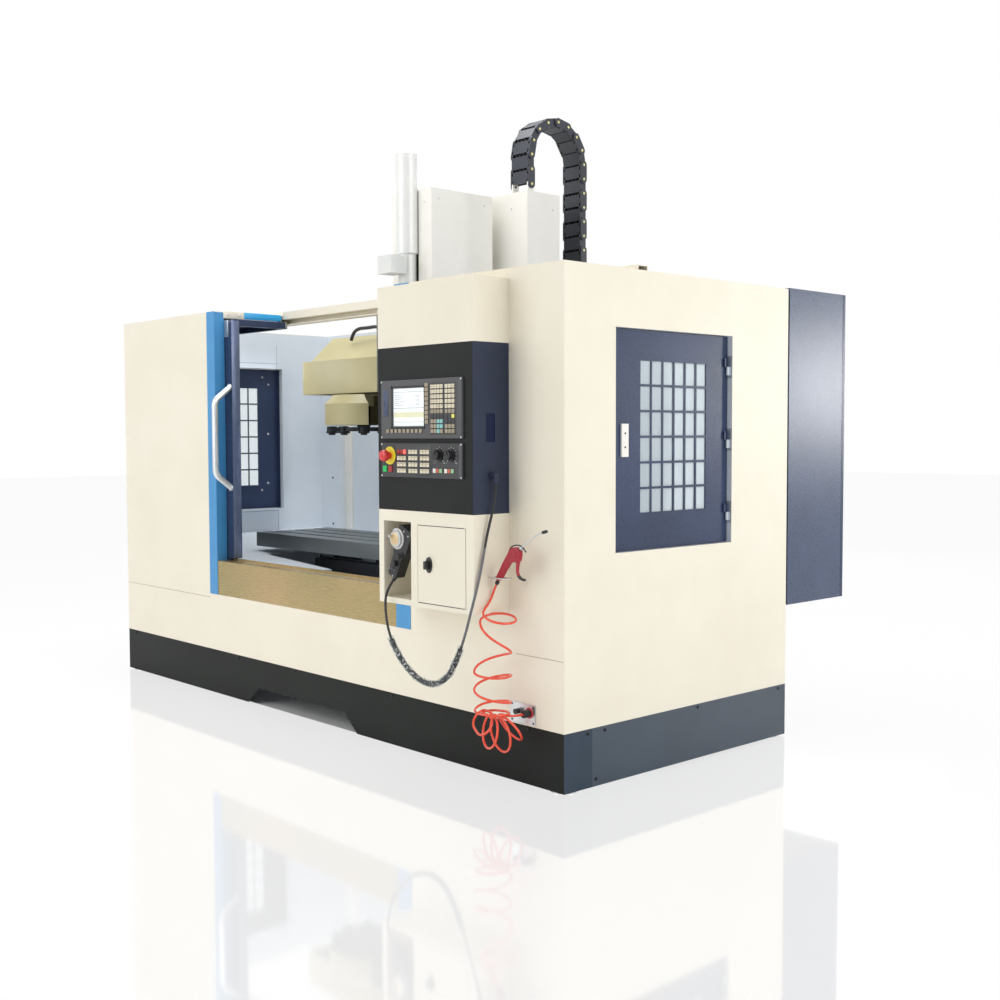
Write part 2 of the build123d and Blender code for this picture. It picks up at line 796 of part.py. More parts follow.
def saddle():
    body = block(-saddle_half, saddle_half, saddle_front, saddle_back, saddle_bottom, saddle_top)
    mid = table_mid_y()
    body -= block(-saddle_half + 50, saddle_half - 50, mid - x_channel_half, mid + x_channel_half, x_channel_bottom,
                  saddle_top + 1)
    taper = 190.0
    wedge = [(saddle_half - taper, saddle_bottom - 1), (saddle_half + 1, saddle_bottom - 1),
             (saddle_half + 1, saddle_bottom + 55)]
    body -= prism_y(wedge, saddle_front - 1, saddle_back + 1)
    body -= mirror_x(prism_y(wedge, saddle_front - 1, saddle_back + 1))
    for side in (-1, 1):
        a, b = sorted((side * (saddle_half - 50), side * (saddle_half + 1)))
        body -= rod_x(journal_radius + seat, a - 1, b, mid, x_screw_height)
    section = make_face(Polyline(*rail_outline(rail_width / 2, x_rail_height), close=True))
    rail = Pos(-saddle_half, 0, 0) * extrude(Plane.YZ * section, 2 * saddle_half)
    for y in (x_rail_front, x_rail_back):
        body += Pos(0, y, saddle_top) * rail
    for side in (-1, 1):
        for y in (saddle_front + 55, saddle_back - 55):
            body += Pos(side * y_rail_offset, y, bed_top) * guide_block(block_length)
    nut = block(-44, 44, mid - 45, mid + 45, y_screw_height - 32, saddle_bottom)
    body += nut - rod_y(screw_radius + nut_clearance, 0, mid - 46, mid + 46, y_screw_height)
    motor = Pos(saddle_half, mid, x_screw_height - 6) * Rot(0, 90, 0) * servo_motor()
    return body + motor


def slot_places():
    mid = table_front + table_width / 2
    return [mid + (index - (slot_count - 1) / 2) * slot_pitch for index in range(slot_count)]


def table():
    x0, x1 = table_left, table_left + table_length
    y0, y1 = table_front, table_front + table_width
    body = block(x0, x1, y0, y1, table_bottom, table_top)
    body = fillet(body.edges().filter_by(Axis.Z), 8)
    neck_bottom = table_top - slot_neck_depth
    for y in slot_places():
        body -= block(x0 - 1, x1 + 1, y - slot_neck / 2, y + slot_neck / 2, neck_bottom - 1, table_top + 1)
        body -= block(x0 - 1, x1 + 1, y - slot_cavity / 2, y + slot_cavity / 2, neck_bottom - slot_cavity_depth,
                      neck_bottom)
    mid_x = (x0 + x1) / 2
    top = table_bottom
    low = saddle_top + 8
    for x in (mid_x - table_block_offset, mid_x + table_block_offset):
        for y in (x_rail_front, x_rail_back):
            pad = block(x - 50, x + 50, y - 33, y + 33, low, top)
            groove = rail_width / 2 + block_gap
            body += pad - block(x - 51, x + 51, y - groove, y + groove, low - 1, saddle_top + x_rail_height + 2)
    mid = table_mid_y()
    nut = block(mid_x - 45, mid_x + 45, mid - 40, mid + 40, x_screw_height - 28, top)
    return body + nut - rod_x(screw_radius + nut_clearance, mid_x - 46, mid_x + 46, mid, x_screw_height)


# Head
def head():
    plan = Pos(0, spindle_y) * Circle(head_half)
    plan += Pos(0, (spindle_y + slide_front) / 2) * Rectangle(2 * head_half, slide_front - spindle_y)
    body = Pos(0, 0, head_bottom) * extrude(plan, head_top - head_bottom)
    relief = [(spindle_y + head_half + 60, head_bottom - 1), (slide_front + 1, head_bottom - 1),
              (slide_front + 1, head_bottom + 150)]
    body -= prism_x(relief, -head_half - 1, head_half + 1)
    nose = rod_z(nose_radius, 0, spindle_y, nose_bottom, head_bottom)
    body += chamfer(nose.edges().sort_by(Axis.Z)[0], 8)
    body += Pos(0, spindle_y, head_bottom - 14) * Cylinder(nose_radius + 18, 28)
    body -= rod_z(spindle_shaft_radius + seat, 0, spindle_y, nose_bottom - 1, spindle_shaft_top + 2)
    body += block(-slide_half, slide_half, slide_front, slide_back, head_bottom + 60, slide_top)
    for side in (-1, 1):
        for z in (head_bottom + 120, slide_top - 70):
            body += z_guide_block(side * z_rail_offset, z)
    nut = block(-40, 40, slide_back, column_front - 4, z_nut_bottom, z_nut_bottom + z_nut_length)
    body += nut
    body -= rod_z(screw_radius + nut_clearance, 0, z_screw_y, z_nut_bottom - 1, z_nut_bottom + z_nut_length + 1)
    body += spindle_drive()
    return body


def z_guide_block(x, z):
    """Guide block of the head on a column rail."""
    front = column_front - 40
    half = block_length / 2
    body = block(x - block_width / 2, x + block_width / 2, min(front, slide_back), column_front - rail_height / 3,
                 z - half, z + half)
    groove = rail_width / 2 + block_gap
    return body - block(x - groove, x + groove, column_front - rail_height - block_gap, column_front,
                        z - half - 1, z + half + 1)


def spindle_drive():
    """Spindle motor with its belt case on top of the head casting."""
    motor_y = drive_y
    case = block(-85, 85, spindle_y + cylinder_radius + 3, motor_y + 95, head_top, head_top + 60)
    motor = block(-80, 80, motor_y - 80, motor_y + 80, head_top + 60, head_top + 330)
    motor = chamfer(motor.edges().filter_by(Axis.Z), 16)
    fan = rod_z(68, 0, motor_y, head_top + 330, head_top + 380)
    return case + motor + fan


def drawbar_cylinder():
    """Tool release cylinder over the spindle on its tubular stand."""
    r = cylinder_radius
    stand = rod_z(r - 9, 0, spindle_y, head_top, cylinder_bottom)
    stand += rod_z(r, 0, spindle_y, head_top, head_top + 14)
    barrel = rod_z(r, 0, spindle_y, cylinder_bottom, cylinder_top)
    barrel = chamfer(barrel.edges(), 4)
    cap = rod_z(16, 0, spindle_y, cylinder_top, cylinder_top + 14)
    box_y = spindle_y - r - 40
    valve_top = cylinder_bottom - 12
    valve = block(-r - 3, r - 7, box_y - 32, spindle_y - r + 12, valve_top - 76, valve_top)
    return stand + barrel + cap + valve


def head_cover():
    top = head_cover_top
    outer = block(-head_half, head_half, head_cover_front, head_cover_back, head_top, top)
    outer = fillet(outer.edges().filter_by(Axis.Z), 5)
    w = sheet
    shell = outer - block(-head_half + w, head_half - w, head_cover_front + w, head_cover_back - w, head_top - 1,
                          top - w)
    return shell - rod_z(cylinder_radius + 4, 0, spindle_y, head_top - 1, top + 1)


def carriage_cover():
    y0, y1 = carriage_front, carriage_back
    outer = block(-carriage_half, carriage_half, y0, y1, head_top, carriage_top)
    outer = fillet(outer.edges().filter_by(Axis.Z).sort_by(Axis.Y)[:2], 5)
    w = sheet
    shell = outer - block(-carriage_half + w, carriage_half - w, y0 + w, y1 + 1, head_top - 1, carriage_top - w)
    bridge = block(-head_half, head_half, y0 + w, y0 + 80, head_top, head_top + w)
    return shell + bridge + chain_ear(chain_pins()[0], 1, carriage_top)


def spindle():
    """Spindle with its flange, drive keys and tapered bore."""
    z0 = spindle_face
    bottom = spindle_flange_radius
    outline = Polyline((0, z0), (bottom, z0), (bottom, nose_bottom - 1), (spindle_shaft_radius, nose_bottom - 1),
                       (spindle_shaft_radius, spindle_shaft_top), (0, spindle_shaft_top), close=True)
    body = revolve(Plane.XZ * make_face(outline), Axis.Z)
    bore = Polyline((0, z0 - 1), (taper_mouth_radius, z0 - 1), (taper_mouth_radius, z0),
                    (taper_small_radius, z0 + taper_depth), (taper_small_radius, z0 + taper_depth + 35),
                    (0, z0 + taper_depth + 35), close=True)
    body -= revolve(Plane.XZ * make_face(bore), Axis.Z)
    for side in (-1, 1):
        a, b = sorted((side * (taper_mouth_radius + 3), side * (bottom - 3)))
        body += block(a, b, -8, 8, z0 - 8, z0)
    return Pos(0, spindle_y, 0) * body


# Tool changer
def tool_housing():
    """Fixed housing of the magazine with its sloping hood, guide bars and arm to the column."""
    w = sheet
    z0, z1 = housing_bottom, housing_top
    shell = block(housing_left, housing_right, housing_front, housing_back, z0, z1)
    shell -= block(housing_left + w, housing_right - w, housing_front + w, housing_back - w, z0 - 1, z1 - w)
    crest = housing_front + 1.1 * hood_height
    slope = [(housing_front, z1), (crest, z1 + hood_height), (crest + 90, z1 + hood_height), (crest + 90, z1)]
    inner = [(housing_front + 3 * w, z1), (crest + w, z1 + hood_height - w), (crest + 90 - w, z1 + hood_height - w),
             (crest + 90 - w, z1)]
    hood = prism_x(slope, housing_left + hood_inset, housing_right)
    hood -= prism_x(inner, housing_left + hood_inset + w, housing_right - w)
    arm_z0, arm_z1 = arm_levels()
    arm = block(arm_left, arm_right, housing_back, bed_back - 60, arm_z0, arm_z1)
    bars = [rod_x(guide_radius, housing_left + w, housing_right - w, y, guide_level()) for y in guide_places()]
    return shell + hood + arm + bars[0] + bars[1]


def guide_places():
    return spindle_y + 40, spindle_y + 180


def guide_level():
    return housing_bottom + 55


def tool_carriage():
    """Carriage block on the guide bars with the drum cover of the magazine under it."""
    cx, cy = magazine_x, spindle_y
    half = guide_radius + 16
    y0, y1 = guide_places()
    block_x0, block_x1 = cx - 175, cx - 25
    z0 = magazine_top
    body = block(block_x0, block_x1, y0 - half, y1 + half, z0, guide_level() + half)
    for y in (y0, y1):
        body -= rod_x(guide_radius + block_gap, block_x0 - 1, block_x1 + 1, y, guide_level())
    r, c, w = magazine_radius, magazine_chamfer, sheet
    outer = Polyline((0, magazine_bottom), (r, magazine_bottom), (r, magazine_top - c), (r - c, magazine_top),
                     (0, magazine_top), close=True)
    inner = Polyline((0, magazine_bottom - 1), (r - w, magazine_bottom - 1), (r - w, magazine_top - c - w / 2),
                     (r - c - w / 2, magazine_top - w), (0, magazine_top - w), close=True)
    drum = revolve(Plane.XZ * make_face(outer), Axis.Z) - revolve(Plane.XZ * make_face(inner), Axis.Z)
    drum += rod_z(hub_radius + 18, 0, 0, magazine_top - 50, magazine_top - w)
    drum -= rod_z(hub_radius + seat, 0, 0, magazine_top - 51, magazine_top - w - 8)
    drum -= rod_z(nose_notch_radius, pitch_radius, 0, magazine_bottom - 1, magazine_top + 1)
    return body + Pos(cx, cy, 0) * drum


def tool_disc():
    """Magazine disc with open pockets around its rim and the hub that carries it."""
    plate = Cylinder(disc_radius, disc_top - disc_bottom, align=(Align.CENTER, Align.CENTER, Align.MIN))
    for index in range(pocket_count):
        angle = radians(index * 360 / pocket_count)
        x, y = pitch_radius * cos(angle), pitch_radius * sin(angle)
        plate -= Pos(x, y, (disc_top - disc_bottom) / 2) * Cylinder(pocket_radius, 2 * (disc_top - disc_bottom))
    plate = Pos(magazine_x, spindle_y, disc_bottom) * plate
    return plate + rod_z(hub_radius, magazine_x, spindle_y, disc_top, magazine_top - sheet - 8 - seat)


# Console
def console_box():
    y0 = -console_depth
    w = sheet
    outer = block(console_left, console_right, y0, 0, console_bottom, console_top)
    outer = fillet(outer.edges().filter_by(Axis.Z).sort_by(Axis.Y)[:2], 4)
    outer -= block(console_left + w, console_right - w, y0 + w, -w, console_bottom + w, console_top - w)
    slot = block(console_right - 2, console_right + 1, -102, -63, 1131, 1225)
    socket = rod_x(11, console_right, console_right + 12, plug_y, plug_z)
    socket += rod_x(8, console_right + 12, plug_x, plug_y, plug_z) + Pos(plug_x, plug_y, plug_z) * Sphere(8)
    socket += rod_z(8, plug_x, plug_y, plug_z - plug_drop, plug_z)
    return outer - slot + socket


def console_top_box():
    y0 = -console_depth
    w = sheet
    outer = block(console_left, console_right, y0, 0, console_top, upper_box_top)
    outer = fillet(outer.edges().filter_by(Axis.Z).sort_by(Axis.Y)[:2], 4)
    return outer - block(console_left + w, console_right - w, y0 + w, -w, console_top - 1, upper_box_top - w)


def key_field(x0, z0, columns, rows, pitch_x, pitch_z, size_x, size_z):
    """Raised keys in rows on a panel face."""
    y = -console_depth - panel_thickness
    keys = None
    for column in range(columns):
        for row in range(rows):
            x, z = x0 + column * pitch_x, z0 + row * pitch_z
            key = block(x, x + size_x, y - key_height, y, z, z + size_z)
            keys = key if keys is None else keys + key
    return keys


def operator_panel():
    """Display unit: bezel, recessed screen and its keys."""
    y0 = -console_depth - panel_thickness
    plate = block(panel_left, panel_right, y0, -console_depth, display_bottom, display_top)
    plate = chamfer(plate.faces().sort_by(Axis.Y)[0].edges(), 2.5)
    plate -= block(screen_left, screen_left + screen_width, y0 - 1, y0 + 4, screen_bottom,
                   screen_bottom + screen_height)
    plate += key_field(letter_x, key_row_z, 4, key_rows, letter_pitch, key_row_pitch, key_width, key_size_z)
    plate += key_field(digit_x, key_row_z, 3, key_rows, digit_pitch, key_row_pitch, key_width, key_size_z)
    plate += key_field(soft_key_x, soft_key_z, 9, 1, soft_key_pitch, 0, key_width, key_size_z)
    plate += key_field(side_key_x, side_key_z, 1, 9, 0, side_key_pitch, key_width + 4, key_size_z)
    return plate


def control_panel():
    """Machine keys with the collar of the stop button and seats for knobs and buttons."""
    y0 = -console_depth - panel_thickness
    plate = block(panel_left, panel_right, y0, -console_depth, keys_bottom, keys_top)
    plate = chamfer(plate.faces().sort_by(Axis.Y)[0].edges(), 2.5)
    size = function_size
    for group in range(3):
        x = function_x + group * function_group
        plate += key_field(x, function_z, 3, 4, function_pitch, function_pitch_z, size, size)
    for group in range(2):
        x = spindle_key_x + group * spindle_key_group
        plate += key_field(x, spindle_key_z, 3, 1, function_pitch, 0, size, size)
    collar = rod_y(stop_ring_radius, stop_x, y0 - stop_ring_thickness, y0, stop_z)
    plate += chamfer(collar.edges().sort_by(Axis.Y)[0], 1)
    plate -= rod_y(stop_stem_radius + seat, stop_x, y0 - stop_ring_thickness - 1, y0 + 6, stop_z)
    for x in (feed_knob_x, speed_knob_x):
        plate -= rod_y(4 + seat, x, y0 - 1, y0 + 6, knob_z)
    for x in button_places():
        half = button_side / 2 + seat
        plate -= block(x - half, x + half, y0 - 1, y0 + 5, button_z - half, button_z + half)
    return plate


def button_places():
    return button_first_x, button_first_x + button_pitch


def e_stop_button():
    """Mushroom head on its stem, pressed towards the back."""
    y0 = -console_depth - panel_thickness
    stand = stop_ring_thickness + stop_travel + 1
    stem = rod_y(stop_stem_radius, stop_x, y0 - stand - 2, y0 + 1, stop_z)
    cap = Pos(stop_x, y0 - stand, stop_z) * Rot(90, 0, 0)
    rise = stop_reach - stand
    outline = Polyline((0, 0), (13, 0), (13, rise - 22), (20, rise - 19), (20, rise - 10), (17, rise - 3),
                       (9, rise), (0, rise), close=True)
    return stem + cap * revolve(Plane.XZ * make_face(outline), Axis.Z)


def push_button(x):
    """Square lighted push button."""
    y0 = -console_depth - panel_thickness
    half = button_side / 2
    cap = block(x - half, x + half, y0 - 4, y0 + 2, button_z - half, button_z + half)
    return chamfer(cap.faces().sort_by(Axis.Y)[0].edges(), 1.2)


def rotary_knob(x):
    """Override knob with a ribbed skirt and a pointer."""
    y0 = -console_depth - panel_thickness
    skirt = rod_y(knob_radius, x, y0 - 5, y0 - 0.5, knob_z)
    grip = Pos(x, y0 - 5, knob_z) * Rot(90, 0, 0) * extrude(RegularPolygon(15, 12), 15)
    pointer = block(x - 1.5, x + 1.5, y0 - 22, y0 - 5, knob_z, knob_z + 16)
    return skirt + grip + pointer + rod_y(4, x, y0 - 5, y0 + 4, knob_z)


# Lower console cabinet with niche, locker and what hangs on it
def pendant_cabinet():
    w = sheet
    y0 = -console_depth
    outer = block(console_left, console_right, y0, 0, cabinet_bottom, console_bottom)
    outer = fillet(outer.edges().filter_by(Axis.Z).sort_by(Axis.Y)[:2], 4)
    wall = 16.0
    shell = outer
    shell -= block(niche_left, niche_right, y0 - 1, -w, niche_bottom, niche_top)
    shell -= block(locker_left, locker_right, y0 - 1, -w, locker_bottom, locker_top)
    shell -= block(locker_left - wall, locker_right + wall, y0 + 14, -w, locker_bottom, locker_top)
    cradle_x = pendant_middle()[0]
    shell += block(cradle_x - 20, cradle_x + 20, pendant_back + seat, -w, 730, 770)
    for z in (locker_bottom, locker_top - 12):
        shell += rod_z(2.5, locker_pivot_x, locker_pivot_y, z, z + 12)
    return shell + gun_hook()


def gun_hook():
    """Wire loop on the cabinet's side that holds the air gun by its grip."""
    gap = gun_thickness / 2 + seat + hook_wire_radius
    z = grip_foot_z + 14
    tip_x = console_right + 82
    path = FilletPolyline((console_right, gun_y - gap, z), (tip_x, gun_y - gap, z), (tip_x, gun_y + gap, z),
                          (console_right, gun_y + gap, z), radius=12)
    return sweep(Plane(origin=path @ 0, z_dir=path % 0) * Circle(hook_wire_radius), path=path)


def tool_cabinet_door():
    y0 = -console_depth
    gap = 3.5
    x0, x1 = locker_left + 2, locker_right - gap
    z0, z1 = locker_bottom + 2, locker_top - 2
    plate = block(x0, x1, y0, y0 + sheet, z0, z1)
    stiff = block(x0 + 8, x1 - 30, y0 + sheet, y0 + 10, z0 + 8, z1 - 8)
    stiff -= block(x0 + 11, x1 - 33, y0 + sheet, y0 + 11, z0 + 11, z1 - 11)
    barrel = rod_z(6, locker_pivot_x, locker_pivot_y, z0 + 4, z1 - 4)
    barrel -= block(locker_pivot_x - 9, locker_pivot_x + 9, y0 - 3, y0, z0, z1)
    for z in (z0 + 4, z1 - 4):
        barrel -= rod_z(2.5 + seat, locker_pivot_x, locker_pivot_y, z - 8, z + 8)
    door = plate + stiff + barrel
    return door - rod_y(6 + seat, locker_knob_x(), y0 - 1, y0 + 12, locker_knob_z())


def locker_knob_x():
    return locker_left + 63.0


def locker_knob_z():
    return locker_bottom + 133.0


def cabinet_knob():
    """Turning latch of the locker door with the cam behind it."""
    y0 = -console_depth
    x, z = locker_knob_x(), locker_knob_z()
    rose = rod_y(16, x, y0 - 5, y0 - seat, z)
    wing = block(x - 6, x + 6, y0 - 22, y0 - 5, z - 14, z + 14)
    shaft = rod_y(6, x, y0 - 5, y0 + 16, z)
    cam = block(x - 8, x + 8, y0 + 14.5, y0 + 17.5, z - (locker_knob_x() - locker_left) - 9, z + 8)
    return rose + fillet(wing.edges().filter_by(Axis.Y), 4) + shaft + cam


def pendant_middle():
    return (pendant_top_x + pendant_foot_x) / 2, (pendant_top_z + pendant_foot_z) / 2


def pendant_body():
    """Hand-held pulse unit: wide upper end, narrow grip and a strain relief at the foot."""
    y0, y1 = pendant_back - pendant_thickness, pendant_back
    dx, dz = pendant_top_x - pendant_foot_x, pendant_top_z - pendant_foot_z
    size = (dx * dx + dz * dz) ** 0.5
    ux, uz = dx / size, dz / size
    sides = []
    for along, half in ((0.0, 22.0), (0.42, 24.0), (0.58, 38.0), (1.0, 36.0)):
        cx, cz = pendant_foot_x + along * dx, pendant_foot_z + along * dz
        sides.append(((cx + half * uz, cz - half * ux), (cx - half * uz, cz + half * ux)))
    outline = [side[0] for side in sides] + [side[1] for side in reversed(sides)]
    body = fillet(prism_y(outline, y0, y1).edges().filter_by(Axis.Y), 9)
    body -= rod_y(5 + seat, wheel_x, y0 - 1, y0 + 8, wheel_z)
    sx, sz = selector_place()
    body -= rod_y(3 + seat, sx, y0 - 1, y0 + 8, sz)
    start, way = cable_start()
    relief = Pos(*(start - way * 14)) * Plane(origin=(0, 0, 0), z_dir=way).location
    cone = Cone(9, 6, 28)
    return body + relief * cone


def selector_place():
    return pendant_foot_x + 24.0, pendant_foot_z + 46.0


def cable_start():
    """Point and direction in which the cable leaves the pulse unit."""
    way = Vector(-0.12, -0.62, -0.78).normalized()
    foot = Vector(pendant_foot_x + 6, pendant_back - pendant_thickness / 2, pendant_foot_z + 4)
    return foot + way * 26, way


def pendant_wheel():
    y0 = pendant_back - pendant_thickness
    wheel = rod_y(wheel_radius, wheel_x, y0 - 12, y0 - 1, wheel_z)
    wheel = chamfer(wheel.edges().sort_by(Axis.Y)[0], 3)
    crank = rod_y(5, wheel_x - 16, y0 - 24, y0 - 12, wheel_z + 10)
    return wheel + crank + rod_y(5, wheel_x, y0 - 1, y0 + 6, wheel_z)


def axis_selector():
    y0 = pendant_back - pendant_thickness
    x, z = selector_place()
    knob = Pos(x, y0 - 1, z) * Rot(90, 0, 0) * extrude(RegularPolygon(11, 8), 12)
    return knob + rod_y(3, x, y0 - 1, y0 + 6, z)


# Free cords
# Their X is counted from the console's left and right side.
cable_route = [
    (85, -196, 560), (113, -204, 480), (162, -200, 402), (237, -190, 338), (322, -184, 318),
    (403, -184, 352), (457, -186, 425), (492, -182, 505), (510, -170, 590), (518, -148, 672),
    (518, -127, 752), (519, -109, 832), (526, -92, 904), (531, -81, 962),
]
hose_route = [(6.5, -85, 616), (10, -94, 590), (10, -94, 566)]


def cord_path(points, name):
    """Straight runs joined by arcs as large as their runs allow."""
    corners = [Vector(*point) for point in points]
    radii = []
    for before, here, after in zip(corners, corners[1:], corners[2:]):
        first, second = here - before, after - here
        turn = radians(first.get_angle(second))
        shorter = min(first.length, second.length)
        radii.append(0.45 * shorter / (sin(turn / 2) / cos(turn / 2)))
    path = FilletPolyline(*corners, radius=radii)
    print(name, "length", round(path.length), "radii", [round(radius) for radius in radii])
    return path


def cord(points, radius, name):
    path = cord_path(points, name)
    tube = sweep(Plane(origin=path @ 0, z_dir=path % 0) * Circle(radius), path=path)
    section = 3.14159265 * radius * radius
    print(name, "volume", round(tube.volume), "expected", round(section * path.length))
    return tube


def pendant_cable():
    start, way = cable_start()
    points = [tuple(start), tuple(start + way * 42)]
    points += [(console_left + x, y, z) for x, y, z in cable_route]
    return cord(points + [(plug_x, plug_y, plug_z - plug_drop)], cable_radius, "pendant_cable")


def gun_axis():
    """Unit vector from the foot of the grip to the head of the gun."""
    return Vector(0.50, 0, 0.866)


def air_gun():
    """Blow gun: moulded grip and head, steel nozzle tube and tip."""
    foot = Vector(grip_foot_x, gun_y, grip_foot_z)
    way = gun_axis()
    half = gun_thickness / 2
    side = Vector(way.Z, 0, -way.X)
    grip_length = 118.0
    top = foot + way * grip_length
    points = [foot - side * 13, foot + side * 13, top + side * 16 - way * 22, top + side * 58 - way * 14,
              top + side * 62 + way * 14, top + side * 10 + way * 30, top - side * 22 + way * 10]
    body = prism_y([(p.X, p.Z) for p in points], gun_y - half, gun_y + half)
    body = fillet(body.edges().filter_by(Axis.Y), 6)
    hook = top + side * 40 + way * 14
    body -= trigger_slot()
    body += Pos(hook.X, gun_y, hook.Z) * Rot(90, 0, 0) * Cylinder(7, gun_thickness)
    nozzle_start = top + side * 52 + way * 2
    tip = Vector(console_right + 240, gun_y, 858)
    line = tip - nozzle_start
    tube = Plane(origin=nozzle_start, z_dir=line.normalized()).location
    low = (Align.CENTER, Align.CENTER, Align.MIN)
    body += tube * Cylinder(4, line.length, align=low)
    end = Plane(origin=tip - line.normalized() * 18, z_dir=line.normalized()).location
    body += end * Cylinder(6.5, 20, align=low)
    inlet = Plane(origin=foot - way * 12, z_dir=way).location
    return body + inlet * Cylinder(7, 16, align=low)


def trigger_pivot():
    top = Vector(grip_foot_x, gun_y, grip_foot_z) + gun_axis() * 118
    side = Vector(gun_axis().Z, 0, -gun_axis().X)
    return top + side * 38 + gun_axis() * 2


def trigger_slot():
    """Slot in the head in which the lever's root swings."""
    pivot = trigger_pivot()
    return Pos(pivot.X + 2, gun_y, pivot.Z - 14) * Box(36, 9, 52)


def gun_trigger():
    """Curved lever on its pin."""
    p = trigger_pivot()
    lever = [(p.X - 5, p.Z + 3), (p.X + 2, p.Z + 3), (p.X + 4, p.Z - 26), (p.X - 2, p.Z - 62), (p.X + 10, p.Z - 84),
             (p.X + 6, p.Z - 90), (p.X - 9, p.Z - 64), (p.X - 4, p.Z - 28)]
    return prism_y(lever, gun_y - 4, gun_y + 4)


def air_hose():
    foot = Vector(grip_foot_x, gun_y, grip_foot_z) - gun_axis() * 12
    second = foot - gun_axis() * 26
    points = [tuple(foot), tuple(second)] + [(console_right + x, y, z) for x, y, z in hose_route]
    return cord(points, hose_radius, "air_hose")


def air_hose_coil():
    """Outer shape of the coiled part of the hose."""
    r = coil_radius
    outline = Polyline((0, coil_bottom), (r * 0.7, coil_bottom), (r + 8, coil_bottom + 50), (r + 8, coil_bottom + 120),
                       (r, coil_bottom + 160), (r, coil_top - 20), (r - 8, coil_top), (0, coil_top), close=True)
    hank = Pos(coil_x, coil_y, 0) * revolve(Plane.XZ * make_face(outline), Axis.Z)
    x, z = coupler_place()
    return hank + rod_y(hose_radius, x, coil_y + r / 2, -coupler_length, z)


def coupler_place():
    """Axis of the quick coupler, as X and Z."""
    return port_right - 27, (port_bottom + port_top) / 2 + 6


def air_port():
    """Wall plate with the coupler that feeds the hose and its shut-off knob."""
    plate = block(port_left, port_right, -4, 0, port_bottom, port_top)
    plate = fillet(plate.edges().filter_by(Axis.Y), 4)
    x, z = coupler_place()
    body = rod_y(13, x, -coupler_length, -4, z)
    knob = rod_y(9, port_left + 40, -22, -4, z)
    return plate + chamfer(body.edges().sort_by(Axis.Y)[0], 2) + knob


# Electrical cabinet
def electrical_cabinet():
    w = sheet
    x0, x1 = cabinet_left, half_width
    outer = block(x0, x1, cabinet_front, cabinet_back, cabinet_z0, cabinet_z1)
    shell = outer - block(x0 + w, x1 - w, cabinet_front + w, cabinet_back + 1, cabinet_z0 + w, cabinet_z1 - w)
    for z in (cabinet_z0 + 80, cabinet_z1 - 160):
        shell += block(x0 + 60, x1 - 60, depth, cabinet_front, z, z + 40)
    for z in cabinet_hinge_levels():
        shell += cabinet_hinge(z, half=0)
    return shell + drive_rack()


def cabinet_hinge_levels():
    return [cabinet_z0 + 120, cabinet_z1 - 120]


def cabinet_axis():
    """Hinge axis of the electrical door, as X and Y."""
    return cabinet_left - hinge_radius - 1, cabinet_back + 2 + cabinet_door_depth / 2


def cabinet_hinge(level, half):
    x, y = cabinet_axis()
    z0 = level - hinge_length / 2 + half * (hinge_length / 2 + seat)
    z1 = z0 + hinge_length / 2 - seat
    knuckle = rod_z(hinge_radius, x, y, z0, z1)
    if half == 0:
        leaf = block(x, cabinet_left, cabinet_back - 30, y, z0, z1)
        leaf += block(cabinet_left - 3, cabinet_left, cabinet_back - 40, cabinet_back, z0, z1)
        leaf -= block(cabinet_left - 0.5, cabinet_left + 20, cabinet_back, y + 20, z0 - 1, z1 + 1)
        return knuckle + leaf + rod_z(hinge_pin_radius, x, y, z0, z0 + hinge_length)
    leaf = block(x, cabinet_left + 4, y - 3, y + 3, z0, z1)
    return knuckle + leaf - rod_z(hinge_pin_radius + seat, x, y, z0 - 1, z1 + 1)


def electrical_door():
    w = sheet
    y0 = cabinet_back + 2
    y1 = y0 + cabinet_door_depth
    x0, x1 = cabinet_left, half_width
    door = block(x0, x1, y0, y1, cabinet_z0, cabinet_z1)
    door -= block(x0 + w, x1 - w, y0 - 1, y1 - w, cabinet_z0 + w, cabinet_z1 - w)
    lock_x, lock_z = x1 - 40, (cabinet_z0 + cabinet_z1) / 2
    door += block(lock_x - 12, lock_x + 12, y1, y1 + cabinet_latch, lock_z - 70, lock_z + 70)
    for z in cabinet_hinge_levels():
        door += cabinet_hinge(z, half=1)
    return door


def drive_rack():
    """Back plate with servo drives, power supply and wiring ducts."""
    y0 = cabinet_front + sheet
    x0, x1 = cabinet_left + 40, half_width - 40
    plate = block(x0, x1, y0, y0 + 3, cabinet_z0 + 60, cabinet_z1 - 60)
    x = x0 + 30
    for module_width in (110.0, 75.0, 75.0, 75.0, 75.0):
        unit = block(x, x + module_width, y0 + 3, y0 + 205, cabinet_z1 - 520, cabinet_z1 - 170)
        plate += unit
        x += module_width + 14
    for z in (cabinet_z1 - 130, cabinet_z1 - 600, cabinet_z0 + 330):
        plate += block(x0 + 20, x1 - 20, y0 + 3, y0 + 63, z, z + 50)
    for index in range(4):
        left = x0 + 40 + index * 130
        plate += block(left, left + 90, y0 + 3, y0 + 90, cabinet_z0 + 120, cabinet_z0 + 250)
    return plate


# Cable chain, the links are drawn one by one
def chain_start():
    """First pin on the head's side, as Y and Z."""
    return carriage_front + link_height / 2 + 12, carriage_top + chain_bracket + seat


def chain_pins():
    """Pins from the head's side over the bend to the column's side, as (y, z)."""
    y, z = chain_start()
    pins = [(y, z)]
    heading = 90.0
    step = 180.0 / arch_links
    headings = [90.0] * left_links
    headings += [90.0 - step * (index + 0.5) for index in range(arch_links)]
    headings += [-90.0] * right_links
    for heading in headings:
        y += link_pitch * cos(radians(heading))
        z += link_pitch * sin(radians(heading))
        pins.append((y, z))
    return pins


def chain_fixed_y():
    return chain_pins()[-1][0]


def chain_fixed_level():
    """Top face of the bracket on the column under the last pin."""
    return chain_pins()[-1][1] - chain_bracket - seat


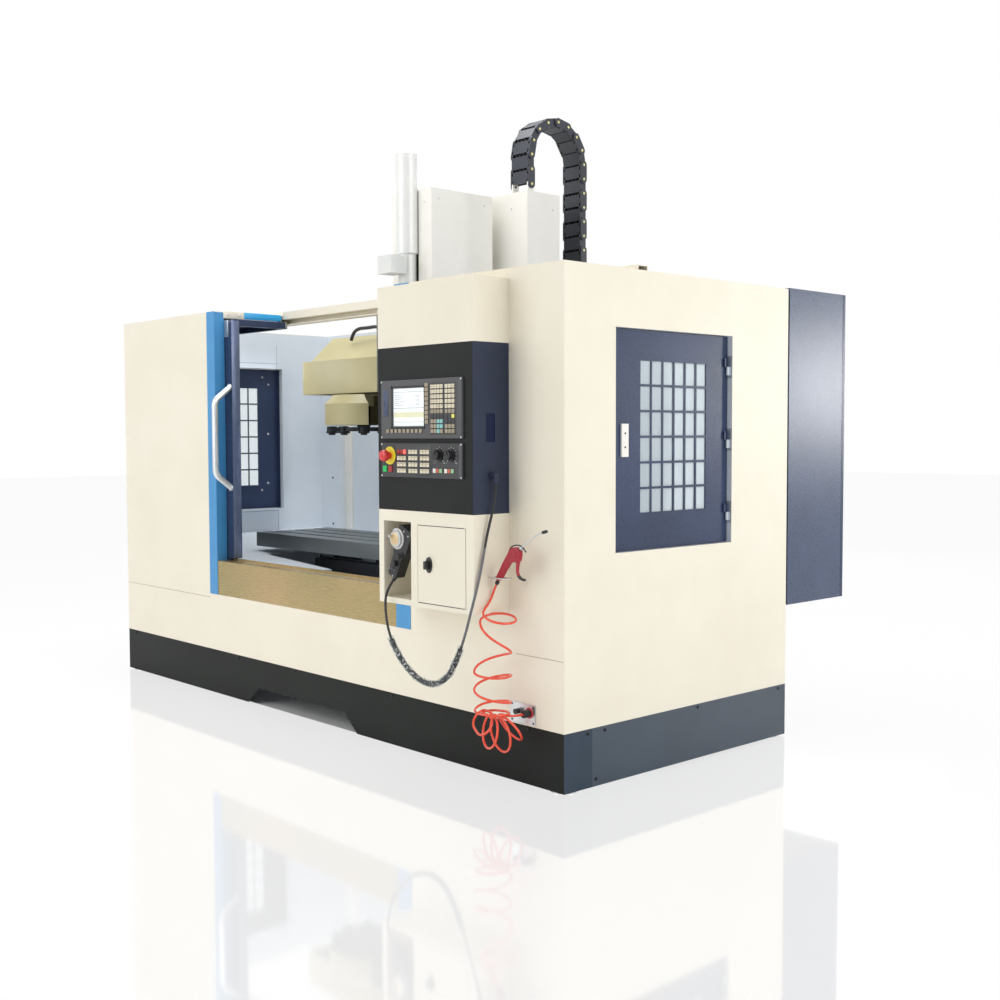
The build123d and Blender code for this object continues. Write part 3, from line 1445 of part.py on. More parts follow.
def chain_link(first, second, layer):
    """Link between two pins. layer 0 has its plates outside, layer 1 inside its neighbours."""
    (y0, z0), (y1, z1) = first, second
    mid_y, mid_z = (y0 + y1) / 2, (z0 + z1) / 2
    way = Vector(0, y1 - y0, z1 - z0).normalized()
    outer = chain_right - 1.5 - layer * (plate_thickness + seat)
    inner_left = chain_left + 1.5 + layer * (plate_thickness + seat)
    frame = Plane(origin=(outer, mid_y, mid_z), x_dir=way, z_dir=(1, 0, 0))
    plate = extrude(SlotCenterToCenter(link_pitch, link_height - 1.0), -plate_thickness)
    link = frame.location * plate
    link += Pos(inner_left - outer + plate_thickness, 0, 0) * (frame.location * plate)
    bar = Pos(0, link_height / 2 - 3, 0) * Box(22, 5, outer - inner_left)
    bars = bar + bar.mirror(Plane.XZ)
    cover_gap = 2 * (1.5 + 2 * plate_thickness + 2 * seat)
    cover = Pos(0, link_height / 2 - 3, 0) * Box(chain_cover_length, 5, chain_right - chain_left - cover_gap)
    bars += cover + cover.mirror(Plane.XZ)
    bar_frame = Plane(origin=((outer + inner_left) / 2, mid_y, mid_z), x_dir=way, z_dir=(1, 0, 0))
    link += bar_frame.location * bars
    for y, z in (first, second):
        if layer == 0:
            link += rod_x(pin_radius, outer - 2 * plate_thickness, chain_right, y, z)
            link += rod_x(pin_radius, chain_left, inner_left + 2 * plate_thickness, y, z)
        else:
            link -= rod_x(pin_radius + seat, outer - plate_thickness - 1, outer + 1, y, z)
            link -= rod_x(pin_radius + seat, inner_left - 1, inner_left + plate_thickness + 1, y, z)
    return link


def chain_ear(pin, layer, foot_z):
    """End bracket of the chain: two ears on a foot plate, with pins or with holes for them."""
    y, z = pin
    foot = 4.0
    rim = link_height / 2 - 0.5
    outer = chain_right - 1.5 - layer * (plate_thickness + seat)
    inner = chain_left + 1.5 + layer * (plate_thickness + seat)
    base = block(inner, outer, y - rim, y + rim, foot_z, foot_z + foot)
    bracket = base
    for x0 in (outer - plate_thickness, inner):
        x1 = x0 + plate_thickness
        bracket += block(x0, x1, y - rim, y + rim, foot_z, z) + rod_x(rim, x0, x1, y, z)
        if layer == 1:
            bracket -= rod_x(pin_radius + seat, x0 - 1, x1 + 1, y, z)
        else:
            bracket += rod_x(pin_radius, x0 - plate_thickness, x1 + plate_thickness, y, z)
    return bracket


def cable_chain():
    pins = chain_pins()
    links = []
    for index in range(len(pins) - 1):
        links.append(chain_link(pins[index], pins[index + 1], index % 2))
    return Compound(children=links)


nodes = {
    "bed": bed,
    "levelling_feet": levelling_feet,
    "column": column,
    "linear_rails": linear_rails,
    "axis_motors": axis_motors,
    "plinth_front": plinth_front,
    "plinth_frame": plinth_frame,
    "lower_front_panel": lower_front_panel,
    "sill_apron": sill_apron,
    "left_front_cover": left_front_cover,
    "right_front_cover": right_front_cover,
    "opening_trims": opening_trims,
    "top_beam": top_beam,
    "right_side_wall": side_wall,
    "left_side_wall": lambda: mirror_x(side_wall()),
    "rear_wall": rear_wall,
    "chip_tray": chip_tray,
    "tool_housing": tool_housing,
    "console_box": console_box,
    "console_top_box": console_top_box,
    "operator_panel": operator_panel,
    "control_panel": control_panel,
    "pendant_cabinet": pendant_cabinet,
    "pendant_body": pendant_body,
    "pendant_cable": pendant_cable,
    "air_gun": air_gun,
    "air_hose": air_hose,
    "air_hose_coil": air_hose_coil,
    "air_port": air_port,
    "electrical_cabinet": electrical_cabinet,
    "left_door": lambda: sliding_door(opening_left, 1),
    "right_door": lambda: sliding_door(opening_right, -1),
    "left_glass": lambda: sliding_glass(opening_left, 1),
    "right_glass": lambda: sliding_glass(opening_right, -1),
    "right_service_door": service_door,
    "left_service_door": lambda: mirror_x(service_door()),
    "electrical_door": electrical_door,
    "tool_cabinet_door": tool_cabinet_door,
    "cabinet_knob": cabinet_knob,
    "e_stop_button": e_stop_button,
    "start_button": lambda: push_button(button_places()[0]),
    "hold_button": lambda: push_button(button_places()[1]),
    "feed_knob": lambda: rotary_knob(feed_knob_x),
    "speed_knob": lambda: rotary_knob(speed_knob_x),
    "pendant_wheel": pendant_wheel,
    "axis_selector": axis_selector,
    "gun_trigger": gun_trigger,
    "saddle": saddle,
    "table": table,
    "x_screw": x_screw,
    "y_screw": y_screw,
    "z_screw": z_screw,
    "head": head,
    "drawbar_cylinder": drawbar_cylinder,
    "head_cover": head_cover,
    "carriage_cover": carriage_cover,
    "spindle": spindle,
    "tool_carriage": tool_carriage,
    "tool_disc": tool_disc,
    "cable_chain": cable_chain,
}

os.makedirs("parts", exist_ok=True)
for name, make in nodes.items():
    export_step(Pos(0, -origin_y, 0) * make(), f"parts/{name}.step")
print("origin_y", origin_y, "nodes", len(nodes))
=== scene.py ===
"""Machining centre with a sliding-door enclosure: finishes, fine detail, cords, light and camera.

Lengths in the classes are millimetres, X to the right, Y to the back from the enclosure's front plane,
Z up from the floor. at() turns them into the scene's metres.
"""
import logging
import math
from dataclasses import dataclass, field, replace
from enum import Enum
from functools import partial
from typing import Optional, Sequence

import bpy
from mathutils import Matrix, Vector


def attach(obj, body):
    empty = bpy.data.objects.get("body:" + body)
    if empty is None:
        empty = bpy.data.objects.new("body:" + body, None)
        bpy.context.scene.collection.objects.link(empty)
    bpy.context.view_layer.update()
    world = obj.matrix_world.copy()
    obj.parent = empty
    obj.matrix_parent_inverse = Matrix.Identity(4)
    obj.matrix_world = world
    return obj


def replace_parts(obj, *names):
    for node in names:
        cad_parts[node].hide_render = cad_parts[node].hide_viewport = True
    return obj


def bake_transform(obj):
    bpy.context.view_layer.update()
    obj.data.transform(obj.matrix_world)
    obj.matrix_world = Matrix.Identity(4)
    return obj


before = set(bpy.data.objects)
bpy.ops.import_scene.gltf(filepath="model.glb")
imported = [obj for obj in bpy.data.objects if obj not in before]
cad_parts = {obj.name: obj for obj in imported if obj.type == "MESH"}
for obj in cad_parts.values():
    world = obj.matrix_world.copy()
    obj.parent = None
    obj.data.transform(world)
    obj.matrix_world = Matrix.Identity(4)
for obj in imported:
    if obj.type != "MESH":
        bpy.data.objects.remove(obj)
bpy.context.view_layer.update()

FRONT_PLANE = 699.5
log = logging.getLogger("machining_centre")

Pair = tuple[float, float]
Point = tuple[float, float, float]
Corners = tuple[Point, Point]
Socket = bpy.types.NodeSocket
Tree = bpy.types.NodeTree
Piece = bpy.types.Object

# Further than any piece reaches, in mm
FAR = 9000.0
LOWEST: Point = (-FAR, -FAR, -FAR)
HIGHEST: Point = (FAR, FAR, FAR)
# Directions
UP: Point = (0, 0, 1)
FRONT: Point = (0, -1, 0)
BACK: Point = (0, 1, 0)
RIGHT: Point = (1, 0, 0)
# Thickness of printed lines and letters, and the distance within which points merge, in mm
PRINT_DEPTH = 0.3
LETTER_DEPTH = 0.06
MERGE_WITHIN = 0.01


def at(x: float, y: float, z: float) -> Vector:
    """Point of the machine in metres.

    Args:
        x, y, z: place in mm, Y counted from the enclosure's front plane.

    Returns:
        The same place in the scene's frame.
    """
    return Vector((x, y - FRONT_PLANE, z)) / 1000


def linear(colour: str) -> tuple[float, float, float, float]:
    """Turn an sRGB hex colour into linear RGBA.

    Args:
        colour: six hex digits with a leading #.

    Returns:
        Linear red, green, blue and an alpha of 1.
    """
    parts = [int(colour[index:index + 2], 16) / 255 for index in (1, 3, 5)]
    curve = [part / 12.92 if part <= 0.04045 else ((part + 0.055) / 1.055) ** 2.4 for part in parts]
    return curve[0], curve[1], curve[2], 1.0


def add_node(tree: Tree, kind: str, inputs: Optional[dict] = None, out: "int | str" = 0,
             **settings) -> Socket:
    """Add one node to a material.

    Args:
        tree: the material's nodes.
        kind: type of the node without its common prefix.
        inputs: numbers, colours or sockets for its inputs, by name or number.
        out: which of its outputs is wanted.
        settings: values of its properties.

    Returns:
        The wanted output, or None for a node without outputs.
    """
    node = tree.nodes.new("ShaderNode" + kind)
    for key, value in settings.items():
        setattr(node, key, value)
    for key, value in (inputs or {}).items():
        if isinstance(value, Socket):
            tree.links.new(value, node.inputs[key])
        else:
            node.inputs[key].default_value = value
    return node.outputs[out] if node.outputs else None


def maths(tree: Tree, operation: str, *values: "Socket | float", kind: str = "Math") -> Socket:
    """Result of one operation on numbers or, with VectorMath as kind, on vectors."""
    return add_node(tree, kind, dict(enumerate(values)), operation=operation)


def mix(tree: Tree, share: Socket, first: "Socket | float", second: "Socket | float") -> Socket:
    """Blend of two numbers."""
    return add_node(tree, "Mix", {0: share, 2: first, 3: second})


def mix_colours(tree: Tree, share: "Socket | float", first, second, blend: str = "MIX") -> Socket:
    """Blend of two colours."""
    return add_node(tree, "Mix", {0: share, 6: first, 7: second}, 2, data_type="RGBA", blend_type=blend)


def noise(tree: Tree, place: Socket, size: float, detail: float, rough: float = 0.5,
          twist: float = 0.0) -> Socket:
    """Cloudy pattern.

    Args:
        tree: the material's nodes.
        place: coordinates in metres.
        size: width of one cloud in mm.
        detail: how many finer layers it has.
        rough: how strong the finer layers are.
        twist: how much it is distorted.

    Returns:
        Its value from 0 to 1.
    """
    return add_node(tree, "TexNoise", {"Scale": 1000 / size, "Detail": detail, "Roughness": rough,
                                       "Distortion": twist, "Vector": place})


def span(tree: Tree, value: Socket, low: float, high: float, start: float = 0.0, end: float = 1.0) -> Socket:
    """Value that runs from low to high while the given one runs from start to end."""
    return add_node(tree, "MapRange", {"From Min": start, "From Max": end, "To Min": low, "To Max": high,
                                       "Value": value})


class Relief(Enum):
    """How a surface was made, which sets its fine relief."""

    SMOOTH = "smooth"
    ORANGE_PEEL = "orange peel of a powder coat"
    WRINKLE = "wrinkle of a textured coat"
    CAST = "sand casting under paint"
    MOULDED = "spark-eroded mould"
    BRUSHED_X = "lines along X"
    BRUSHED_Y = "lines along Y"
    BRUSHED_Z = "lines along Z"


BRUSHED = (Relief.BRUSHED_X, Relief.BRUSHED_Y, Relief.BRUSHED_Z)
# A brushed line is this many grains long, patches make this share of a finish's second colour
LINE_LENGTH = 60
CLOUD_SHARE = 0.7
COAT_ROUGHNESS = 0.08


class Surface:
    """What a piece is made of, with the name of its material and of its slot."""

    name: str
    slot: str

    def shade(self, tree: Tree, place: Socket) -> Socket:
        """Nodes of the surface.

        Args:
            tree: the material's nodes.
            place: Object coordinates.

        Returns:
            The shader socket.
        """
        raise NotImplementedError

    def build(self) -> bpy.types.Material:
        """Make the material, once per name."""
        material = bpy.data.materials.get(self.name)
        if material is None:
            material = bpy.data.materials.new(self.name)
            material.use_nodes = True
            tree = material.node_tree
            tree.nodes.clear()
            place = add_node(tree, "TexCoord", out="Object")
            add_node(tree, "OutputMaterial", {"Surface": self.shade(tree, place)})
        return material


@dataclass
class Layer:
    """Sockets of one finish before they reach the shader."""

    colour: Socket
    roughness: Socket
    height: Socket
    metallic: "Socket | float"

    def under(self, tree: Tree, mask: Socket, other: "Layer") -> "Layer":
        """This layer with another one over it where the mask is 1."""
        metallic = self.metallic
        if metallic != other.metallic:
            metallic = mix(tree, mask, metallic, other.metallic)
        return Layer(mix_colours(tree, mask, self.colour, other.colour),
                     mix(tree, mask, self.roughness, other.roughness),
                     mix(tree, mask, self.height, other.height), metallic)


@dataclass(frozen=True)
class Zone:
    """Box of a piece, in mm, that has another finish."""

    low: Point
    high: Point
    finish: Surface

    def mask(self, tree: Tree, place: Socket) -> Socket:
        """Nodes that are 1 inside the box and 0 outside."""
        low, high = at(*self.low), at(*self.high)
        away = maths(tree, "SUBTRACT", place, (low + high) / 2, kind="VectorMath")
        away = maths(tree, "ABSOLUTE", away, kind="VectorMath")
        past = maths(tree, "SUBTRACT", away, (high - low) / 2, kind="VectorMath")
        x, y, z = add_node(tree, "SeparateXYZ", {0: past}).node.outputs
        most = maths(tree, "MAXIMUM", maths(tree, "MAXIMUM", x, y), z)
        return maths(tree, "LESS_THAN", most, 0.0)


@dataclass(frozen=True)
class Finish(Surface):
    """Opaque finish: colours, gloss and relief.

    grain is the width of one grain of the relief in mm, depth its height in mm and cloud the width of the
    patches in which its two colours alternate. zones have another finish, panes are glass.
    """

    name: str
    colour: str
    second: str
    roughness: float = 0.45
    metallic: float = 0.0
    relief: Relief = Relief.ORANGE_PEEL
    grain: float = 2.5
    depth: float = 0.02
    cloud: float = 300.0
    coat: float = 0.0
    ior: float = 1.5
    slot: str = ""
    zones: tuple[Zone, ...] = ()
    panes: tuple[Zone, ...] = ()

    def stretch(self) -> Point:
        """Scale of the grain along X, Y and Z."""
        fine = 1000 / self.grain
        return tuple(fine / LINE_LENGTH if self.relief is way else fine for way in BRUSHED)

    def layer(self, tree: Tree, place: Socket) -> Layer:
        """Nodes for the finish itself.

        Args:
            tree: the material's nodes.
            place: Object coordinates.

        Returns:
            Its colour, roughness and height sockets with its metallic value.
        """
        brushed = self.relief in BRUSHED
        speckle, spread = (0.1, 0.08) if brushed else (0.22, 0.05)
        detail = 4.0 if self.relief in (Relief.CAST, Relief.WRINKLE) else 2.0
        drawn = maths(tree, "MULTIPLY", place, self.stretch(), kind="VectorMath")
        grain = noise(tree, drawn, 1000, detail, 0.55)
        cloud = span(tree, noise(tree, place, self.cloud, 3.0, 0.6), 0.0, 1.0, 0.35, 0.65)
        share = maths(tree, "MULTIPLY_ADD", cloud, CLOUD_SHARE, maths(tree, "MULTIPLY", grain, speckle))
        colour = mix_colours(tree, share, linear(self.colour), linear(self.second))
        glossy, matt = max(0.02, self.roughness - spread), min(1.0, self.roughness + spread)
        rough = span(tree, grain, glossy, matt, 0.3, 0.7)
        height = maths(tree, "MULTIPLY", grain, self.depth / 1000)
        return Layer(colour, rough, height, self.metallic)

    def shade(self, tree: Tree, place: Socket) -> Socket:
        """Nodes of the finish with its zones and panes."""
        layer = self.layer(tree, place)
        for zone in self.zones:
            layer = layer.under(tree, zone.mask(tree, place), zone.finish.layer(tree, place))
        normal = add_node(tree, "Bump", {"Strength": 1.0, "Distance": 1.0, "Height": layer.height})
        surface = add_node(tree, "BsdfPrincipled", {
            "Base Color": layer.colour, "Roughness": layer.roughness, "Metallic": layer.metallic,
            "Normal": normal, "IOR": self.ior, "Coat Weight": self.coat, "Coat Roughness": COAT_ROUGHNESS})
        for pane in self.panes:
            glass = pane.finish.shade(tree, place)
            surface = add_node(tree, "MixShader", {0: pane.mask(tree, place), 1: surface, 2: glass})
        return surface


# Powder-coated sheet steel: a satin skin with a fine orange peel, about 2.5 mm from crest to crest
CREAM = Finish("powder_coat_cream", "#F0EAD9", "#EBE4D1", 0.42, slot="cream_sheet")
CREAM_INNER = Finish("powder_coat_pale_grey", "#DCE3EA", "#D3DBE3", 0.4)
WHITE_COAT = Finish("powder_coat_white", "#F3F1EA", "#EBE9E1", 0.38, slot="light_grey_sheet")
# Near black for the saddle: the black of the way covers together with painted shade of the gap under the
# table
WAY_COVER_AND_SHADE = Finish("way_cover_black_and_painted_shade", "#23262A", "#2C3035", 0.38)
# Cream paint darkened to olive: painted shade of the enclosure's inside on the magazine housing and its
# carriage
SHADED_COVER = Finish("powder_coat_cream_painted_shade", "#B9B086", "#ADA478", 0.4)
BLUE_TRIM = Finish("powder_coat_blue", "#4A97CE", "#3E8CC6", 0.38)
SEAM = Finish("powder_coat_seam", "#B4AB94", "#A9A088", 0.5, slot="cream_sheet")
# Darker grey for painted shade: along the folds of the side panels, and on the hinges so that they match the
# jamb in shadow
FOLD_SHADE = Finish("powder_coat_painted_fold_shade", "#A9B2BC", "#9EA8B3", 0.45, slot="light_grey_sheet")
SLOT_NAVY = Finish("recess_navy", "#1B2340", "#202A4A", 0.3)
BRIGHT_BLUE = Finish("film_sky_blue", "#35B6F2", "#2BA8E8", 0.35, slot="blue_trim")
# Textured and hammered coats: wrinkles 2 to 4 mm wide
wrinkled = partial(Finish, relief=Relief.WRINKLE)
# The console's front and right side are one graphite coat; the side is a lighter, bluer copy, painted light
CONSOLE = wrinkled("textured_coat_graphite", "#202122", "#262728", 0.4, grain=2.0, depth=0.04, ior=1.25)
CONSOLE_LIT_SIDE = wrinkled("textured_coat_graphite_side", "#343A4C", "#3A4155", 0.38, grain=2.0, depth=0.04)
# One plinth coat in two copies: the front darkened as painted shade, the sides lighter and bluer as painted
# light
PLINTH_SHADED = wrinkled("textured_coat_plinth", "#171A18", "#1D211F", 0.42, depth=0.05, ior=1.25)
PLINTH_LIT = wrinkled("textured_coat_plinth_side", "#36424F", "#3C4957", 0.42, depth=0.05)
SLATE = wrinkled("hammer_coat_slate", "#2A3650", "#344262", 0.3, grain=4.0, depth=0.16, ior=1.4)
SLATE_CABINET = wrinkled("hammer_coat_blue_grey", "#36445F", "#414F6C", 0.29, grain=4.0, depth=0.16,
                         slot="console_dark")
# Cast iron under a thick paint, the sand of the mould shows through
cast = partial(Finish, relief=Relief.CAST, grain=4.0, depth=0.12)
CASTING = cast("painted_cast_iron", "#8E9596", "#848C8E", 0.5)
DARK_CASTING = cast("painted_cast_iron_dark", "#4A4D50", "#44474A", 0.5)
# Ground, drawn or brushed metal keeps the lines of the tool
GROUND_X = Finish("ground_steel_x", "#B9BBBD", "#9FA2A5", 0.28, 1.0, Relief.BRUSHED_X, 0.8, 0.004)
GROUND_Y = Finish("ground_steel_y", "#B9BBBD", "#9FA2A5", 0.26, 1.0, Relief.BRUSHED_Y, 0.8, 0.004)
GROUND_Z = Finish("ground_steel_z", "#B9BBBD", "#9FA2A5", 0.26, 1.0, Relief.BRUSHED_Z, 0.8, 0.004)
TABLE_IRON = Finish("ground_cast_iron", "#6F7576", "#62696B", 0.36, 0.6, Relief.BRUSHED_X, 0.8, 0.006)
STAINLESS = Finish("stainless_sheet", "#C2A57A", "#9C9463", 0.26, 0.6, Relief.BRUSHED_X, 1.2, 0.0006, 800.0)
SATIN = Finish("satin_steel_tube", "#E4E6E8", "#D6D9DC", 0.3, 0.85, Relief.BRUSHED_Z, 0.8, 0.003, 120.0,
               slot="stainless")
TOOL_BLACK = Finish("phosphated_steel", "#1C1D1F", "#27282B", 0.4, 0.6, Relief.BRUSHED_Z, 1.0, 0.004, 60.0,
                    slot="tool_black")
CYLINDER_GREY = Finish("anodised_tube", "#E6E7E4", "#DADCDA", 0.35, 0.1, Relief.BRUSHED_Z, 0.8, 0.002)
# Light steel blue for a painted highlight along the leading edge of the left door
EDGE_HIGHLIGHT = Finish("painted_highlight_edge", "#6A7694", "#5E6A88", 0.26, 0.3, Relief.BRUSHED_Z, 0.8, 0.003,
              slot="slate_door")
# Plated, oxidised or turned metal without a grain that shows
ZINC = Finish("zinc_plated_steel", "#D6D8DA", "#C3C6C9", 0.3, 1.0, Relief.SMOOTH, 1.5, 0.003, 40.0,
              slot="stainless")
BRASS = Finish("turned_pale_brass", "#D9C39A", "#CDB58A", 0.3, 0.8, Relief.SMOOTH, 1.0, 0.003, 30.0,
               slot="stainless")
BLACK_STEEL = Finish("black_oxide_steel", "#26272A", "#303236", 0.42, 0.5, Relief.SMOOTH, 1.5, 0.004, 30.0,
                     slot="tool_black")
# Moulded plastics carry the fine grain of a spark-eroded mould
moulded = partial(Finish, relief=Relief.MOULDED, grain=1.2, depth=0.02)
BLACK_ABS = moulded("moulded_black_abs", "#1B1C1E", "#242528", 0.42, slot="black_plastic")
CHAIN_PLASTIC = moulded("moulded_nylon_chain", "#262A33", "#2E333D", 0.42, grain=1.6, depth=0.03)
CHAIN_PIN = moulded("moulded_nylon_pin", "#E6DFA0", "#DDD590", 0.4)
PANEL = moulded("moulded_bezel_grey", "#4A4B4D", "#525355", 0.42, slot="panel_face")
PANEL_DARK = moulded("keyboard_foil_charcoal", "#343537", "#3A3B3E", 0.45, slot="console_dark")
GUN_RED = moulded("moulded_gun_red", "#A81C30", "#9C172B", 0.35, slot="gun_red")
keycap = partial(Finish, relief=Relief.MOULDED, grain=1.0, depth=0.01, slot="cream_sheet")
KEY_CREAM = keycap("keycap_cream", "#E8DFC6", "#DFD5B8", 0.4, cloud=25.0)
KEY_TAN = keycap("keycap_tan", "#A79C86", "#9A8F79", 0.42, cloud=25.0)
KEY_CYAN = keycap("keycap_cyan", "#8FCBC6", "#7FBFBB", 0.4)
KEY_YELLOW = keycap("keycap_yellow", "#F2EE7A", "#E9E36A", 0.4)
KEY_PALE = keycap("keycap_pale", "#F0EDE6", "#E8E4DA", 0.4)
KEY_RED = keycap("keycap_red", "#C86A52", "#BD5C46", 0.4, slot="red_plastic")
KEY_GREEN = keycap("keycap_green", "#9CC79A", "#8CBB8C", 0.4, slot="green_plastic")
polished = partial(Finish, relief=Relief.SMOOTH, grain=1.2, depth=0.004)
RED_ABS = polished("moulded_red", "#D42A2E", "#C52227", 0.3, coat=0.3, slot="red_plastic")
DARK_RED = polished("moulded_dark_red", "#A8302C", "#962724", 0.32, slot="red_plastic")
GREEN_ABS = polished("moulded_green", "#25C262", "#1DB357", 0.3)
YELLOW_ABS = polished("moulded_yellow", "#F5E23A", "#EED630", 0.38)
# Polyurethane hose: a smooth glossy skin with a little depth
HOSE = Finish("polyurethane_hose", "#F0502F", "#EA4528", 0.24, 0.0, Relief.SMOOTH, 6.0, 0.01, 60.0, 0.4,
              slot="hose_red")
sheathed = partial(Finish, relief=Relief.SMOOTH, grain=3.0, cloud=40.0, slot="cable_black")
CABLE = sheathed("pvc_cable_black", "#1E1E20", "#29292C", 0.45)
CHAIN_CABLE = sheathed("pvc_cable_matt", "#111214", "#17181A", 0.65)
CABLE_GREY = sheathed("pvc_cable_grey", "#5A5C60", "#6C6E72", 0.4)
printed = partial(Finish, relief=Relief.SMOOTH, grain=2.0, depth=0.0, slot="light_grey_sheet")
DIAL_WHITE = printed("printed_scale_white", "#E4E4DE", "#D8D8D2", 0.5, grain=1.5, depth=0.002)
SCREEN_LINE = printed("screen_print", "#9AA6AC", "#8D9AA2", 0.3)
SCREEN_TINT = printed("screen_field", "#F3F3CF", "#EEEFC4", 0.3)


@dataclass(frozen=True)
class Pane(Surface):
    """Clear sheet glass with a faint green edge, thin enough that light passes straight."""

    name: str = "float_glass"
    slot: str = "clear_glass"
    tint: str = "#F4F8FA"
    clear: float = 0.88

    def shade(self, tree: Tree, place: Socket) -> Socket:
        """Nodes of the glass."""
        rough = span(tree, noise(tree, place, 120, 4.0), 0.01, 0.08)
        gloss = add_node(tree, "BsdfPrincipled", {"Base Color": linear(self.tint), "IOR": 1.52,
                                                  "Roughness": rough})
        share = span(tree, add_node(tree, "Fresnel", {"IOR": 1.3}), 1 - self.clear, 1.0)
        return self.seen_through(tree, share, gloss)

    def seen_through(self, tree: Tree, share: Socket, gloss: Socket) -> Socket:
        """Share of gloss over what lies behind the sheet."""
        through = add_node(tree, "BsdfTransparent", {"Color": linear(self.tint)})
        return add_node(tree, "MixShader", {0: share, 1: through, 2: gloss})


@dataclass(frozen=True)
class Film(Pane):
    """Crumpled stretch film: clear where it lies flat, white where a crease catches the light."""

    name: str = "stretch_film"
    crease: float = 9.0
    white: str = "#C9CCCB"

    def shade(self, tree: Tree, place: Socket) -> Socket:
        """Nodes of the film."""
        folds = noise(tree, place, self.crease, 3.0, twist=1.2)
        normal = add_node(tree, "Bump", {"Distance": 0.002, "Height": folds})
        gloss = add_node(tree, "BsdfPrincipled", {"Base Color": linear(self.white), "Normal": normal,
                                                  "Roughness": span(tree, folds, 0.12, 0.3)})
        return self.seen_through(tree, span(tree, folds, 0.03, 0.85, 0.54, 0.64), gloss)


@dataclass(frozen=True)
class Glow(Surface):
    """Lit surface behind a clear cover, such as a screen or a lamp."""

    name: str
    colour: str
    strength: float
    slot: str

    def shade(self, tree: Tree, place: Socket) -> Socket:
        """Nodes of the lit surface."""
        lit = span(tree, noise(tree, place, 60, 1.0), 0.94, 1.0)
        colour = mix_colours(tree, 1.0, linear(self.colour), lit, "MULTIPLY")
        return add_node(tree, "BsdfPrincipled", {"Roughness": 0.12, "Emission Strength": self.strength,
                                                 "Base Color": colour, "Emission Color": colour})


@dataclass(frozen=True)
class Polish(Surface):
    """White floor with a polished film. It mirrors faintly, and glows where the machine doesn't shade it."""

    shaded: Zone
    name: str = "polished_white_floor"
    white: str = "#FFFFFF"
    glow: float = 0.9
    mirror: float = 0.2

    def shade(self, tree: Tree, place: Socket) -> Socket:
        """Nodes of the floor."""
        white = linear(self.white)
        matt = add_node(tree, "BsdfDiffuse", {"Color": white})
        rough = span(tree, noise(tree, place, 400, 2.0), 0.04, 0.07)
        gloss = add_node(tree, "BsdfGlossy", {"Color": white, "Roughness": rough})
        glow = add_node(tree, "Emission", {"Color": white, "Strength": 1.0})
        beyond = span(tree, self.shaded.mask(tree, place), self.glow, 0.0)
        lift = maths(tree, "MULTIPLY", add_node(tree, "LightPath", out="Is Camera Ray"), beyond)
        base = add_node(tree, "MixShader", {0: lift, 1: matt, 2: glow})
        return add_node(tree, "MixShader", {0: self.mirror, 1: base, 2: gloss})


def dress(nodes: str, finish: Surface, zones: Sequence[Zone] = (), panes: Sequence[Zone] = ()) -> None:
    """Give nodes of the part their material.

    Args:
        nodes: names of the nodes, with spaces between them.
        finish: their finish.
        zones: boxes of them that have another finish.
        panes: boxes of them that are glass.
    """
    for node in nodes.split():
        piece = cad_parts[node]
        own = finish
        if zones or panes:
            own = replace(finish, name=f"{finish.name}_{node}", zones=tuple(zones), panes=tuple(panes))
        material = own.build()
        for slot in piece.material_slots:
            slot.material = material
        if not piece.material_slots:
            piece.data.materials.append(material)


def new_piece(name: str, data: bpy.types.ID) -> Piece:
    """Link new data to the scene as an object."""
    piece = bpy.data.objects.new(name, data)
    bpy.context.collection.objects.link(piece)
    return piece


